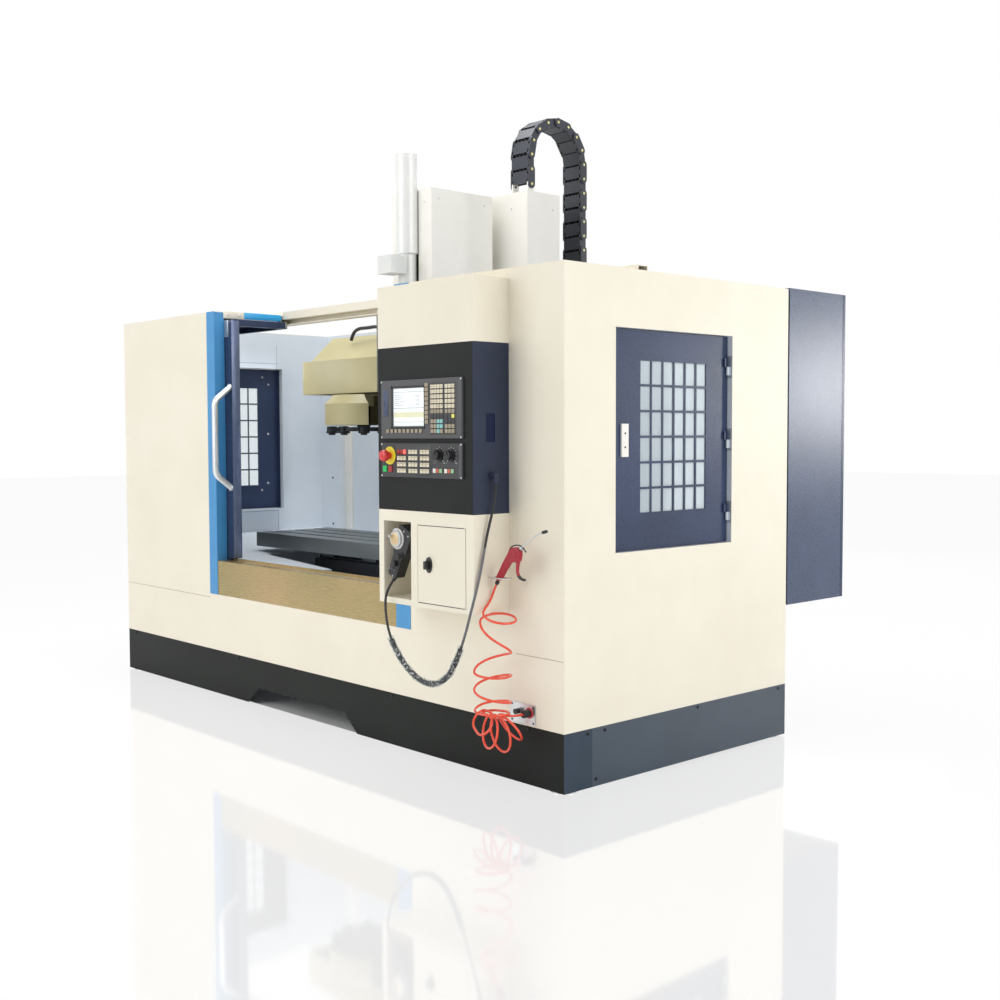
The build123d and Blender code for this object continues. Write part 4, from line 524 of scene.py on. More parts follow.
class Bench:
    """Modelling steps that all sub-assemblies share."""

    @staticmethod
    def take(*pieces: Piece) -> None:
        """Select these pieces only, the first one active."""
        bpy.ops.object.select_all(action="DESELECT")
        for piece in pieces:
            piece.select_set(True)
        bpy.context.view_layer.objects.active = pieces[0]

    @staticmethod
    def settle(*pieces: Piece) -> None:
        """Move place, turn and size of the pieces into their meshes."""
        Bench.take(*pieces)
        bpy.ops.object.transform_apply(location=True, rotation=True, scale=True)

    @staticmethod
    def to_mesh(piece: Piece) -> Piece:
        """Turn a curve or a text into a mesh."""
        Bench.take(piece)
        bpy.ops.object.convert(target="MESH")
        return bpy.context.active_object

    @staticmethod
    def stand(piece: Piece, place: Point, turn: Point) -> Piece:
        """Turn a piece by angles in degrees, move it to its place in mm and settle it."""
        piece.rotation_euler = [math.radians(angle) for angle in turn]
        piece.location = at(*place)
        Bench.settle(piece)
        return piece

    @staticmethod
    def face_out(piece: Piece, merge: bool = False) -> None:
        """Turn all faces outward, and merge points that lie on each other first if asked."""
        Bench.take(piece)
        bpy.ops.object.mode_set(mode="EDIT")
        bpy.ops.mesh.select_all(action="SELECT")
        if merge:
            bpy.ops.mesh.remove_doubles(threshold=MERGE_WITHIN / 1000)
        bpy.ops.mesh.normals_make_consistent(inside=False)
        bpy.ops.object.mode_set(mode="OBJECT")

    @staticmethod
    def soften(piece: Piece, width: float, steps: int = 2, angle: float = 30.0) -> None:
        """Round the sharp edges of a piece.

        Args:
            piece: the piece.
            width: bevel width in mm.
            steps: segments of the bevel.
            angle: edges sharper than this many degrees are rounded.
        """
        Bench.take(piece)
        bevel = piece.modifiers.new("edge", "BEVEL")
        bevel.width = width / 1000
        bevel.segments = steps
        bevel.limit_method = "ANGLE"
        bevel.angle_limit = math.radians(angle)
        bpy.ops.object.modifier_apply(modifier=bevel.name)

    @staticmethod
    def smooth(piece: Piece, angle: float = 35.0) -> None:
        """Shade a piece smooth up to an angle in degrees."""
        Bench.take(piece)
        bpy.ops.object.shade_smooth_by_angle(angle=math.radians(angle))

    @staticmethod
    def box(low: Point, high: Point, edge: float, steps: int = 2) -> Piece:
        """Block between two corners in mm with rounded edges."""
        a, b = at(*low), at(*high)
        bpy.ops.mesh.primitive_cube_add(size=1.0, location=(a + b) / 2, scale=b - a)
        piece = bpy.context.active_object
        Bench.settle(piece)
        if edge > 0:
            Bench.soften(piece, edge, steps)
            Bench.smooth(piece)
        return piece

    @staticmethod
    def turned(profile: Sequence[Pair], place: Point, way: Point, sides: int) -> Piece:
        """Turned piece from a profile, closed at both ends.

        Args:
            profile: radius and height pairs in mm, from the foot up.
            place: foot of the axis in mm.
            way: direction of the axis.
            sides: sides of the circle.

        Returns:
            The piece, settled.
        """
        radius, height = profile[0]
        bpy.ops.mesh.primitive_circle_add(vertices=sides, radius=radius / 1000, fill_type="NGON",
                                          location=(0, 0, height / 1000))
        piece = bpy.context.active_object
        Bench.settle(piece)
        bpy.ops.object.mode_set(mode="EDIT")
        bpy.ops.mesh.select_all(action="SELECT")
        for next_radius, next_height in profile[1:]:
            lift = (next_height - height) / 1000
            bpy.ops.mesh.extrude_region_move(TRANSFORM_OT_translate={"value": (0, 0, lift)})
            share = next_radius / radius
            bpy.ops.transform.resize(value=(share, share, 1.0), center_override=(0, 0, next_height / 1000))
            radius, height = next_radius, next_height
        bpy.ops.object.mode_set(mode="OBJECT")
        Bench.face_out(piece)
        turn = Vector(way).to_track_quat("Z", "Y").to_euler()
        Bench.stand(piece, place, [math.degrees(angle) for angle in turn])
        Bench.smooth(piece)
        return piece

    @staticmethod
    def line(name: str, points: Sequence[Point], radius: float, sides: int, steps: int) -> Piece:
        """Round line on one smooth open spline.

        Args:
            name: name of the piece.
            points: control points in mm.
            radius: radius of the line in mm.
            sides: how finely its circle is divided.
            steps: how finely it is divided between two points.

        Returns:
            The curve.
        """
        data = bpy.data.curves.new(name, "CURVE")
        data.dimensions = "3D"
        spline = data.splines.new("NURBS")
        spline.points.add(len(points) - 1)
        for knot, point in zip(spline.points, points):
            knot.co = (*at(*point), 1.0)
            knot.radius = radius / 1000
        spline.order_u = 3
        spline.use_endpoint_u = True
        data.bevel_depth = 1.0
        data.bevel_resolution = sides
        data.resolution_u = steps
        data.use_fill_caps = True
        return new_piece(name, data)

    @staticmethod
    def wire(points: Sequence[Point], radius: float) -> Piece:
        """Round wire or tube of a rigid piece along points in mm, as a mesh."""
        piece = Bench.to_mesh(Bench.line("wire", points, radius, 3, 6))
        Bench.smooth(piece)
        return piece

    @staticmethod
    def plate(outline: Sequence[Pair], thickness: float, place: Point, edge: float) -> Piece:
        """Flat piece cut to an outline, standing up and facing the front.

        Args:
            outline: corner points in mm in the plane of the plate.
            thickness: thickness in mm, half on each side of the plane.
            place: where the outline's origin stands, in mm.
            edge: rounding of its rim in mm.

        Returns:
            The piece, settled.
        """
        data = bpy.data.curves.new("plate", "CURVE")
        data.dimensions = "2D"
        data.fill_mode = "BOTH"
        data.extrude = thickness / 2000
        spline = data.splines.new("POLY")
        spline.points.add(len(outline) - 1)
        for knot, (u, v) in zip(spline.points, outline):
            knot.co = (u / 1000, v / 1000, 0, 1)
        spline.use_cyclic_u = True
        piece = Bench.to_mesh(new_piece("plate", data))
        Bench.face_out(piece, True)
        Bench.stand(piece, place, (90, 0, 0))
        if edge > 0:
            Bench.soften(piece, edge)
            Bench.smooth(piece)
        return piece

    @staticmethod
    def tick(angle: float, near: float, far: float, half: float, place: Point) -> Piece:
        """Line of a dial's scale at an angle in degrees, from a near to a far radius, two halves wide."""
        u, v = math.cos(math.radians(angle)), math.sin(math.radians(angle))
        corners = ((near, -half), (far, -half), (far, half), (near, half))
        return Bench.plate([(u * r - side * v, v * r + side * u) for r, side in corners],
                           PRINT_DEPTH, place, 0)

    @staticmethod
    def label(text: str, place: Point, size: float) -> Piece:
        """Letter or figure as a thin mesh, size in mm, centred on its place and facing the front."""
        data = bpy.data.curves.new("label", "FONT")
        data.body = text
        data.size = size / 1000
        data.extrude = LETTER_DEPTH / 1000
        data.align_x = "CENTER"
        data.align_y = "CENTER"
        data.resolution_u = 2
        return Bench.stand(Bench.to_mesh(new_piece("label", data)), place, (90, 0, 0))

    @staticmethod
    def copies(piece: Piece, steps: Sequence[Point]) -> list[Piece]:
        """Copies of a piece with meshes of their own, each moved by one step in mm."""
        made = []
        for step in steps:
            other = new_piece(piece.name, piece.data.copy())
            other.location = Vector(step) / 1000
            made.append(other)
        if made:
            Bench.settle(*made)
        return made

    @staticmethod
    def join(name: str, *pieces: Piece) -> Piece:
        """Join pieces to one object with this name."""
        Bench.take(*pieces)
        if len(pieces) > 1:
            bpy.ops.object.join()
        piece = bpy.context.active_object
        piece.name = name
        return piece

    @staticmethod
    def finish(name: str, finish: Surface, *pieces: Piece, body: str = "machine", slot: str = "") -> Piece:
        """Join pieces of one finish, give them material and body, and report the result.

        Args:
            name: name of the joined piece.
            finish: what it is made of.
            pieces: the pieces.
            body: body that it moves with.
            slot: not used.

        Returns:
            The joined piece.
        """
        piece = Bench.join(name, *pieces)
        piece.data.materials.clear()
        piece.data.materials.append(finish.build())
        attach(piece, body)
        log.info("%s: %s on %s", name, finish.name, body)
        return piece


@dataclass(frozen=True)
class Blocks:
    """Blocks of one finish, each between two corners, joined to one piece."""

    name: str
    finish: Surface
    edge: float
    corners: tuple[Corners, ...]
    body: str = "machine"

    def build(self) -> None:
        """Make the piece."""
        blocks = [Bench.box(low, high, self.edge) for low, high in self.corners]
        Bench.finish(self.name, self.finish, *blocks, body=self.body)


@dataclass(frozen=True)
class Turnings:
    """Equal turned pieces of one finish, each with its place and the way it points, joined to one piece."""

    name: str
    finish: Surface
    profile: tuple[Pair, ...]
    spots: tuple[tuple[Point, Point], ...]
    sides: int = 18
    body: str = "machine"
    slot: str = ""

    def build(self) -> None:
        """Make the piece."""
        pieces = [Bench.turned(self.profile, place, way, self.sides) for place, way in self.spots]
        Bench.finish(self.name, self.finish, *pieces, body=self.body, slot=self.slot)


Part = Blocks | Turnings


def facing(way: Point, *places: Point) -> tuple[tuple[Point, Point], ...]:
    """Places that all point the same way."""
    return tuple((place, way) for place in places)


def pan_head(radius: float) -> tuple[Pair, ...]:
    """Profile of a pan-head screw with a socket."""
    tall = 0.6 * radius
    return ((radius, 0), (radius, 0.5 * tall), (0.8 * radius, 0.9 * tall), (0.5 * radius, tall),
            (0.46 * radius, 0.6 * tall), (0.1 * radius, 0.6 * tall))


@dataclass
class Studio:
    """Camera at the photograph's viewing angle, soft light and a pale floor, in metres and watts."""

    lens: float = 45.04
    place: Point = (4.284, -3.5075, 1.155)
    azimuth: float = 47.54
    pitch: float = 2.99
    roll: float = -0.16
    floor_size: float = 60.0
    floor: Polish = Polish(Zone((-1490, 26, -50), (1490, 1180, 50), PLINTH_SHADED))
    world_light: float = 0.5
    lamps: tuple[tuple[str, Point, Point, float, float], ...] = (
        ("key", (7.5, 0.5, 3.6), (1.2, 0.0, 1.0), 4.0, 166.0),
        ("front", (-1.5, -7.0, 3.5), (0.0, 0.0, 0.9), 5.0, 176.0),
        ("back", (-3.0, 6.0, 4.0), (0.0, 0.0, 1.0), 4.0, 90.0),
        ("overhead", (-0.4, -0.2, 4.2), (-0.4, -0.1, 1.0), 2.0, 84.0),
        ("sheen", (5.3, 6.7, 1.6), (1.5, 0.75, 1.35), 0.85, 72.0),
        ("work_light", (-0.9, -0.45, 1.5), (-0.9, 0.2, 0.9), 0.3, 1.6))

    def camera(self) -> None:
        """Make the camera."""
        a, p, r = (math.radians(angle) for angle in (self.azimuth, self.pitch, self.roll))
        up = Vector(UP)
        level = Vector((-math.sin(a), math.cos(a), 0))
        right = Vector((math.cos(a), math.sin(a), 0))
        forward = level * math.cos(p) - up * math.sin(p)
        above = level * math.sin(p) + up * math.cos(p)
        side = right * math.cos(r) + above * math.sin(r)
        top = above * math.cos(r) - right * math.sin(r)
        turn = Matrix((side, top, -forward)).transposed()
        data = bpy.data.cameras.new("camera")
        data.lens = self.lens
        data.sensor_width = 36.0
        data.clip_end = 200.0
        camera = new_piece("camera", data)
        camera.matrix_world = Matrix.Translation(self.place) @ turn.to_4x4()
        bpy.context.scene.camera = camera

    def lamp(self, name: str, place: Point, target: Point, size: float, power: float) -> None:
        """Soft square lamp that faces a target."""
        data = bpy.data.lights.new(name, "AREA")
        data.shape = "SQUARE"
        data.size = size
        data.energy = power
        lamp = new_piece(name, data)
        lamp.location = place
        lamp.rotation_euler = (Vector(target) - Vector(place)).to_track_quat("-Z", "Y").to_euler()

    def world(self) -> None:
        """Plain world: white where the camera or a reflection sees it, dimmer as light."""
        world = bpy.data.worlds.new("studio")
        bpy.context.scene.world = world
        world.use_nodes = True
        tree = world.node_tree
        tree.nodes.clear()
        ray = add_node(tree, "LightPath").node.outputs
        seen = maths(tree, "MAXIMUM", ray["Is Camera Ray"], ray["Is Glossy Ray"])
        seen = maths(tree, "MAXIMUM", seen, ray["Is Transmission Ray"])
        strength = span(tree, seen, self.world_light, 1.0)
        light = add_node(tree, "Background", {"Color": (1, 1, 1, 1), "Strength": strength})
        add_node(tree, "OutputWorld", {"Surface": light})

    def build(self) -> None:
        """Set up camera, light and floor."""
        bpy.context.scene.view_settings.view_transform = "Standard"
        self.camera()
        self.world()
        bpy.ops.mesh.primitive_grid_add(x_subdivisions=2, y_subdivisions=2, size=self.floor_size,
                                        location=(0, 0, -0.0005))
        floor = bpy.context.active_object
        floor.name = "floor"
        floor.data.materials.append(self.floor.build())
        for lamp in self.lamps:
            self.lamp(*lamp)


def lay_cord(name: str, finish: Finish, points: Sequence[Point], radius: float) -> Piece:
    """Cord on one spline with its material and body."""
    piece = Bench.line(name, points, radius, 4, 8)
    piece.data.materials.append(finish.build())
    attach(piece, "machine")
    return piece


def cord_line(piece: Piece) -> list[Vector]:
    """Points along a cord's own spline, read with its bevel off."""
    thick = piece.data.bevel_depth
    piece.data.bevel_depth = 0
    mesh = bpy.data.meshes.new_from_object(piece)
    piece.data.bevel_depth = thick
    line = [vertex.co.copy() for vertex in mesh.vertices]
    bpy.data.meshes.remove(mesh)
    return line


@dataclass
class PulseCable:
    """Cable of the hand-held pulse unit: black at both ends, wrapped in clear film along its bight."""

    radius: float = 4.5
    length: float = 1236.0
    film: tuple[float, float, tuple[int, int]] = (11.6, 1.6, (3, 5))
    film_top: float = 470.0
    binding: tuple[float, float, tuple[int, int]] = (8.6, 1.1, (2, 6))
    sleeve: Zone = Zone((1200, -FAR, 470.0), (FAR, FAR, 790), CABLE_GREY)
    sides: int = 26
    spacing: float = 6.0
    route: tuple[Point, ...] = (
        (814.9, -142.1, 645.8), (809.9, -168.0, 613.2), (838, -196, 560), (866, -204, 480), (915, -200, 402),
        (990, -190, 338), (1075, -184, 318), (1156, -184, 352), (1210, -186, 425), (1245, -182, 505),
        (1263, -170, 590), (1271, -148, 672), (1271, -127, 752), (1272, -109, 832), (1279, -92, 904),
        (1284, -81, 962), (1284, -81, 998))

    def build(self) -> None:
        """Make the cable and its wrapping."""
        sleeved = replace(CABLE, name="pvc_cable_sleeved", zones=(self.sleeve,))
        piece = lay_cord("pendant_cable_cord", sleeved, self.route, self.radius)
        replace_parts(piece, "pendant_cable")
        low = [point for point in cord_line(piece) if point.z < self.film_top / 1000]
        wrap = Bench.finish("pendant_cable_film", Film(), self.skin(low, *self.film))
        binding = Bench.finish("pendant_cable_sleeve", CABLE, self.skin(low[1:-1], *self.binding))

    def skin(self, low: Sequence[Vector], radius: float, depth: float, lobes: tuple[int, int]) -> Piece:
        """Crumpled skin round the cable.

        Args:
            low: places along the cable, in metres.
            radius: how far the skin stands from the cable's middle, in mm.
            depth: how deep its creases go, in mm.
            lobes: how many folds two overlaid creases have round the cable.

        Returns:
            The piece.
        """
        spaced = [low[0]]
        for after in low[1:]:
            if (after - spaced[-1]).length >= self.spacing / 1000:
                spaced.append(after)
        points, faces = [], []
        for index, point in enumerate(spaced):
            ahead = spaced[min(index + 1, len(spaced) - 1)] - spaced[max(index - 1, 0)]
            ahead.normalize()
            side = ahead.cross(Vector(BACK)).normalized()
            lift = side.cross(ahead).normalized()
            for step in range(self.sides):
                angle = 2 * math.pi * step / self.sides
                crease = math.sin(angle * lobes[0] + index * 0.9)
                crease += 0.6 * math.sin(angle * lobes[1] - index * 0.7)
                reach = (radius + 0.6 * depth * crease) / 1000
                points.append(tuple(point + (side * math.cos(angle) + lift * math.sin(angle)) * reach))
        for index in range(len(spaced) - 1):
            for step in range(self.sides):
                a = index * self.sides + step
                b = index * self.sides + (step + 1) % self.sides
                faces.append((a, a + self.sides, b + self.sides, b))
        data = bpy.data.meshes.new("skin")
        data.from_pydata(points, [], faces)
        piece = new_piece("skin", data)
        Bench.face_out(piece)
        Bench.smooth(piece, 60)
        return piece


@dataclass
class SpiralHose:
    """Red air hose: from the gun into loose turns, a bunch of hanging loops and the coupler.

    Turns are given where they reach furthest left and right in the photograph: how far to the side of
    the coil's axis, and how high. Sideways is the camera's right. Where the turns meet the bunch and the
    ends, eased moves single points a few mm so that the hose doesn't kink.
    """

    radius: float = 4.0
    axis: Pair = (1306.0, -112.0)
    azimuth: float = 47.54
    start: tuple[Point, ...] = ((1283, -80, 665.6), (1270, -80, 643.1), (1266.5, -85, 616))
    reaches: tuple[Pair, ...] = (
        (-38, 583), (74, 557), (-46, 552), (58, 449), (-66, 388), (58, 378), (-66, 330), (58, 288),
        (-64, 262), (52, 252), (-58, 246))
    tilt: tuple[float, ...] = (-16, 16, -6, 6, -5, 5, -4, 4, 0, 0)
    half_steps: int = 6
    loops: tuple[Point, ...] = ((-60, 196, 62), (-24, 138, 66), (30, 124, 56), (84, 164, 68))
    loop_steps: int = 12
    loop_reach: float = 57.0
    loop_drift: float = 3.0
    crossing: Pair = (-14.0, 250.0)
    crossing_step: Pair = (11.0, -2.0)
    last_turn: Point = (30.0, 0.0, 252.0)
    coupler: Point = (1359.0, -34.0, 245.0)
    approach: tuple[Point, ...] = ((-12, -62, 3), (0, -34, 0), (0, 0, 0))
    eased: dict[int, Point] = field(default_factory=lambda: {
        2: (1.9, -6.9, -2.9), 3: (-1.0, 2.6, -0.4), 60: (-6.1, 6.1, -0.2), 61: (-5.9, 3.6, -0.7),
        62: (7.8, 3.5, 0.6), 63: (0.2, -8.6, -0.2), 64: (1.6, 0.1, 2.0), 65: (0.2, 1.6, 2.0),
        66: (-1.5, 0.6, 0.2), 67: (-1.4, -1.2, -2.1), 68: (0.4, -2.4, -3.2), 70: (-2.6, -0.5, -1.3),
        71: (-0.2, -1.3, -1.9), 72: (1.8, -0.7, -0.6), 73: (1.7, 0.9, 1.3), 74: (-0.6, 1.7, 2.4),
        110: (-2.9, -5.5, 5.8), 111: (-4.0, -7.7, -1.4), 112: (0.8, 3.1, -0.2)})

    def spot(self, side: float, depth: float, height: float) -> Point:
        """Place in mm from a step to the side, a step away from the camera and a height."""
        a = math.radians(self.azimuth)
        x = self.axis[0] + side * math.cos(a) - depth * math.sin(a)
        y = self.axis[1] + side * math.sin(a) + depth * math.cos(a)
        return x, y, height

    def coil(self) -> list[Point]:
        """Loose turns, half a turn at a time."""
        points = []
        halves = zip(self.reaches, self.reaches[1:], self.tilt)
        for index, ((s0, z0), (s1, z1), tilt) in enumerate(halves):
            front = -1 if index % 2 == 0 else 1
            middle, reach = (s0 + s1) / 2, abs(s1 - s0) / 2
            for step in range(self.half_steps):
                share = step / self.half_steps
                swing = math.sin(math.pi * share)
                side = middle + (s0 - middle) * math.cos(math.pi * share)
                points.append(self.spot(side, front * reach * swing, z0 + (z1 - z0) * share + tilt * swing))
        return points

    def bunch(self) -> list[Point]:
        """Loops that hang from the crossing point and fan out sideways."""
        points = []
        for index, (far_side, far_height, lean) in enumerate(self.loops):
            top_side, top_height = (start + index * step for start, step in
                                    zip(self.crossing, self.crossing_step))
            middle = Vector(((top_side + far_side) / 2, 0, (top_height + far_height) / 2))
            half = Vector(((far_side - top_side) / 2, 0, (far_height - top_height) / 2))
            across = half.normalized().cross(Vector(BACK))
            wide = across * math.cos(math.radians(lean)) + Vector(FRONT) * math.sin(math.radians(lean))
            for step in range(self.loop_steps):
                share = step / self.loop_steps
                angle = 2 * math.pi * share
                drift = self.loop_drift * (index + share) / len(self.loops)
                spot = middle - half * math.cos(angle) + wide * self.loop_reach * math.sin(angle)
                points.append(self.spot(spot.x + drift, spot.y, spot.z))
        return points

    def build(self) -> None:
        """Make the hose as one open spline."""
        end = [tuple(value + step for value, step in zip(self.coupler, steps)) for steps in self.approach]
        points = [*self.start, *self.coil(), *self.bunch(), self.spot(*self.last_turn), *end]
        for index, shift in self.eased.items():
            points[index] = tuple(value + step for value, step in zip(points[index], shift))
        piece = lay_cord("air_hose_cord", HOSE, points, self.radius)
        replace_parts(piece, "air_hose", "air_hose_coil")
        line = cord_line(piece)


@dataclass
class Enclosure:
    """Sheet-steel housing and the machine in it: which finish each node has."""

    plain: tuple[tuple[Surface, str], ...] = (
        (CASTING, "bed column"), (DARK_CASTING, "head"), (ZINC, "levelling_feet pendant_wheel"),
        (CREAM, "lower_front_panel top_beam console_top_box tool_cabinet_door"), (CREAM_INNER, "chip_tray"),
        # Magazine housing and carriage take the cream with painted shade
        (WHITE_COAT, "head_cover carriage_cover"), (SHADED_COVER, "tool_housing tool_carriage"),
        # Saddle: way-cover black with painted shade under the table
        (WAY_COVER_AND_SHADE, "saddle"), (BLUE_TRIM, "opening_trims"), (STAINLESS, "sill_apron"),
        # Plinth sides and rear in the lit copy of the plinth coat
        (PLINTH_LIT, "plinth_frame"), (SLATE, "electrical_door"), (SLATE_CABINET, "electrical_cabinet"),
        (GROUND_X, "x_screw"), (GROUND_Y, "y_screw linear_rails"), (GROUND_Z, "z_screw spindle"),
        (TABLE_IRON, "table"), (TOOL_BLACK, "tool_disc"), (CYLINDER_GREY, "drawbar_cylinder"),
        (BLACK_ABS, "axis_motors pendant_body cabinet_knob feed_knob speed_knob axis_selector gun_trigger"),
        (PANEL, "operator_panel"), (RED_ABS, "e_stop_button"), (GREEN_ABS, "start_button"),
        (DARK_RED, "hold_button"), (CABLE, "pendant_cable"), (GUN_RED, "air_gun"),
        (HOSE, "air_hose air_hose_coil"), (Pane(), "left_glass right_glass"))
    room: Zone = Zone((-1513, 3.5, 201), (1513, 1200.5, 1698.5), CREAM_INNER)
    hinge_levels: tuple[float, ...] = (874.0, 1135.0, 1396.0)
    hinge_depths: Pair = (850.0, 885.0)
    hinge_half: float = 40.0
    walls: tuple[tuple[str, float, float], ...] = (
        ("right_side_wall", 1490, 1514), ("left_side_wall", -1514, -1490))
    zoned: tuple[tuple[Surface, str, tuple[Zone, ...]], ...] = (
        # Right side of the console in the lit copy of its coat, painted light
        (CONSOLE, "console_box", (Zone((1257.4, -FAR, -FAR), HIGHEST, CONSOLE_LIT_SIDE),
                                  Zone((1257.5, -103, 1130), (1259.8, -62, 1226), SLOT_NAVY))),
        # Plinth front in the shaded copy, its ends in the lit copy
        (PLINTH_SHADED, "plinth_front", (Zone((1513.8, -FAR, -FAR), HIGHEST, PLINTH_LIT),
                                  Zone(LOWEST, (-1513.8, FAR, FAR), PLINTH_LIT))),
        (ZINC, "air_port", (Zone(LOWEST, (FAR, -4.2, FAR), BLACK_ABS),)),
        (CHAIN_PLASTIC, "cable_chain", (Zone((298.7, -FAR, -FAR), HIGHEST, CHAIN_PIN),
                                        Zone(LOWEST, (181.3, FAR, FAR), CHAIN_PIN))),
        (SLATE, "left_door right_door", (Zone(LOWEST, (FAR, 49.0, FAR), ZINC),
                                         Zone((-FAR, 330, 1640), HIGHEST, ZINC))),
        (CREAM, "pendant_cabinet", (Zone((1262, -110, 680), (1400, -50, 700), ZINC),)),
        (PANEL_DARK, "control_panel", (Zone((797, -FAR, 1048), (869, -164.3, 1120), YELLOW_ABS),)))
    latch: Zone = Zone((1495.4, 280, 1075), (1512, 322, 1195), WHITE_COAT)
    window: Zone = Zone((1488.8, 384.0, 890.5), (1492.1, 735.5, 1402.5), Pane())
    left_window: Zone = Zone((-1492.1, 384.0, 890.5), (-1488.8, 735.5, 1402.5), Pane())

    def build(self) -> None:
        """Dress every node of the machine."""
        for finish, nodes in self.plain:
            dress(nodes, finish)
        for finish, nodes, zones in self.zoned:
            dress(nodes, finish, zones)
        dress("left_front_cover right_front_cover rear_wall", CREAM, (self.room,))
        (near, far), half = self.hinge_depths, self.hinge_half
        for node, low, high in self.walls:
            # Hinge halves take the darker grey of painted shade
            hinges = [Zone((low, near, z - half), (high, far, z + half), FOLD_SHADE) for z in self.hinge_levels]
            dress(node, CREAM, (self.room, *hinges))
        dress("right_service_door", SLATE, (self.latch,), (self.window,))
        dress("left_service_door", SLATE, (), (self.left_window,))


@dataclass
class Keyboard:
    """Caps, legends, screen and scales of the two panels. Keys stand on the raised pads of the panels.

    Rows of the layout run upwards. A row has four letter keys and three digit keys, each with the mark
    of its group.
    """

    top: float = -166.9
    foot: float = -163.9
    face: float = -160.7
    letter_x: Pair = (1056.0, 16.3)
    digit_x: Pair = (1130.0, 16.9)
    row_z: Pair = (1161.0, 16.4)
    size: Pair = (14.0, 12.5)
    square: Pair = (14.0, 14.0)
    layout: tuple[str, ...] = ("eeaeeee", "eeaaeee", "eeaappp", "pppppps", "eeeeeee") + ("ccccccc",) * 5
    legends: tuple[str, ...] = (
        "", "", "", "", "YZ.-", "UVWX0/*", "QRST123", "MNOP456", "GHIJ789", "ABCD+=%")
    groups: tuple[tuple[str, str, Finish], ...] = (
        ("c", "keycaps_letters", KEY_CREAM), ("e", "keycaps_editing", KEY_TAN),
        ("p", "keycaps_paging", PANEL_DARK), ("a", "keycaps_arrows", KEY_CYAN),
        ("s", "keycap_shift", KEY_YELLOW))
    lap: float = 0.2
    edge: float = 1.2
    legend_place: Pair = (7.0, 6.2)
    legend_size: float = 7.5
    soft_first: Pair = (815.0, 1162.0)
    soft_pitch: float = 22.5
    menu_first: Pair = (1025.0, 1192.0)
    menu_pitch: float = 15.4
    menu_size: Pair = (18.0, 12.5)
    machine_first: Pair = (874.0, 1026.0)
    machine_pitch: Pair = (16.6, 21.5)
    machine_block: float = 62.5
    machine_mark: Corners = ((2.5, -0.15, 9.0), (11.5, 0.2, 10.6))
    spindle_x: Pair = (1067.0, 1126.0)
    spindle_z: float = 1029.0
    dials: tuple[tuple[float, str], ...] = ((1098, "150"), (1159, "120"))
    dial_face: float = -164.1
    dial_level: float = 1088.0
    dial_radii: Point = (23.0, 27.0, 29.0)
    dial_from: float = 225.0
    dial_step: float = 27.0
    dial_line: float = 0.6
    dial_figures: Pair = (24.0, -26.0)
    dial_figure_size: float = 6.5
    reading_x: float = 975.0
    reading_size: float = 10.0
    rules: tuple[tuple[float, float, float, float], ...] = (
        (852, 1245, 1015, 1247), (852, 1198, 1015, 1199.5), (852, 1300, 1015, 1301.5),
        (935, 1247, 936, 1300), (856, 1290, 896, 1291.6), (856, 1283, 908, 1284.6), (856, 1276, 890, 1277.6),
        (856, 1269, 916, 1270.6), (856, 1262, 884, 1263.6), (856, 1255, 902, 1256.6))
    readings: tuple[tuple[str, float], ...] = (("X  0.000", 1286), ("Y  0.000", 1272), ("Z  0.000", 1258))
    parts: tuple[Part, ...] = (
        Blocks("screen", Glow("screen_backlight", "#EAF1F2", 0.35, "light_grey_sheet"), 0.6,
               (((848.5, -160.7, 1184.5), (1018.5, -159.9, 1313.5)),)),
        Blocks("screen_entry_field", SCREEN_TINT, 0, (((852, -160.82, 1214), (1015, -160.6, 1232)),)),
        Blocks("screen_gasket", BLACK_ABS, 0.5, (
            ((840, -165.2, 1176), (848.2, -163.8, 1322)), ((1018.8, -165.2, 1176), (1023, -163.8, 1322)),
            ((840, -165.2, 1176), (1023, -163.8, 1184.2)), ((840, -165.2, 1313.8), (1023, -163.8, 1322)))),
        Blocks("panel_edge_strips", PANEL, 0.5, (
            ((1197, -164.6, 1147), (1211, -163.9, 1337)), ((1197, -164.6, 1015), (1211, -163.9, 1123)))),
        Blocks("key_fields", PANEL_DARK, 0.4, (
            ((1051, -164.5, 1156), (1186, -163.9, 1328)), ((866, -164.5, 1018), (1057, -163.9, 1120)))),
        Turnings("panel_screws", ZINC, ((3.4, 0), (3.4, 1.2), (2.6, 1.9), (0.4, 1.9)), facing(
            FRONT, (786, -164, 1147), (786, -164, 1337), (1209, -164, 1147), (1209, -164, 1337),
            (786, -164, 1015), (786, -164, 1123), (1209, -164, 1015), (1209, -164, 1123)), 16))

    def cell(self, row: int, column: int) -> Pair:
        """Lower left corner of one key of the layout."""
        first, pitch = self.letter_x if column < 4 else self.digit_x
        return first + column % 4 * pitch, self.row_z[0] + row * self.row_z[1]

    def caps(self, name: str, finish: Surface, size: Pair, places: Sequence[Pair]) -> None:
        """One cap modelled at the first place and copied to the others."""
        (x, z), (wide, high), lap = places[0], size, self.lap
        cap = Bench.box((x - lap, self.top, z - lap), (x + wide + lap, self.foot, z + high + lap), self.edge)
        others = Bench.copies(cap, [(px - x, 0, pz - z) for px, pz in places[1:]])
        Bench.finish(name, finish, cap, *others)

    def display_keys(self) -> None:
        """Caps round the screen."""
        for mark, name, finish in self.groups:
            places = [self.cell(row, column) for row, marks in enumerate(self.layout)
                      for column, own in enumerate(marks) if own == mark]
            self.caps(name, finish, self.size, places)
        (x, z), (menu_x, menu_z) = self.soft_first, self.menu_first
        soft = [(x + self.soft_pitch * column, z) for column in range(9)]
        menu = [(menu_x, menu_z + self.menu_pitch * row) for row in range(9)]
        self.caps("keycaps_soft", KEY_TAN, self.size, soft)
        self.caps("keycaps_menu", KEY_TAN, self.menu_size, menu)

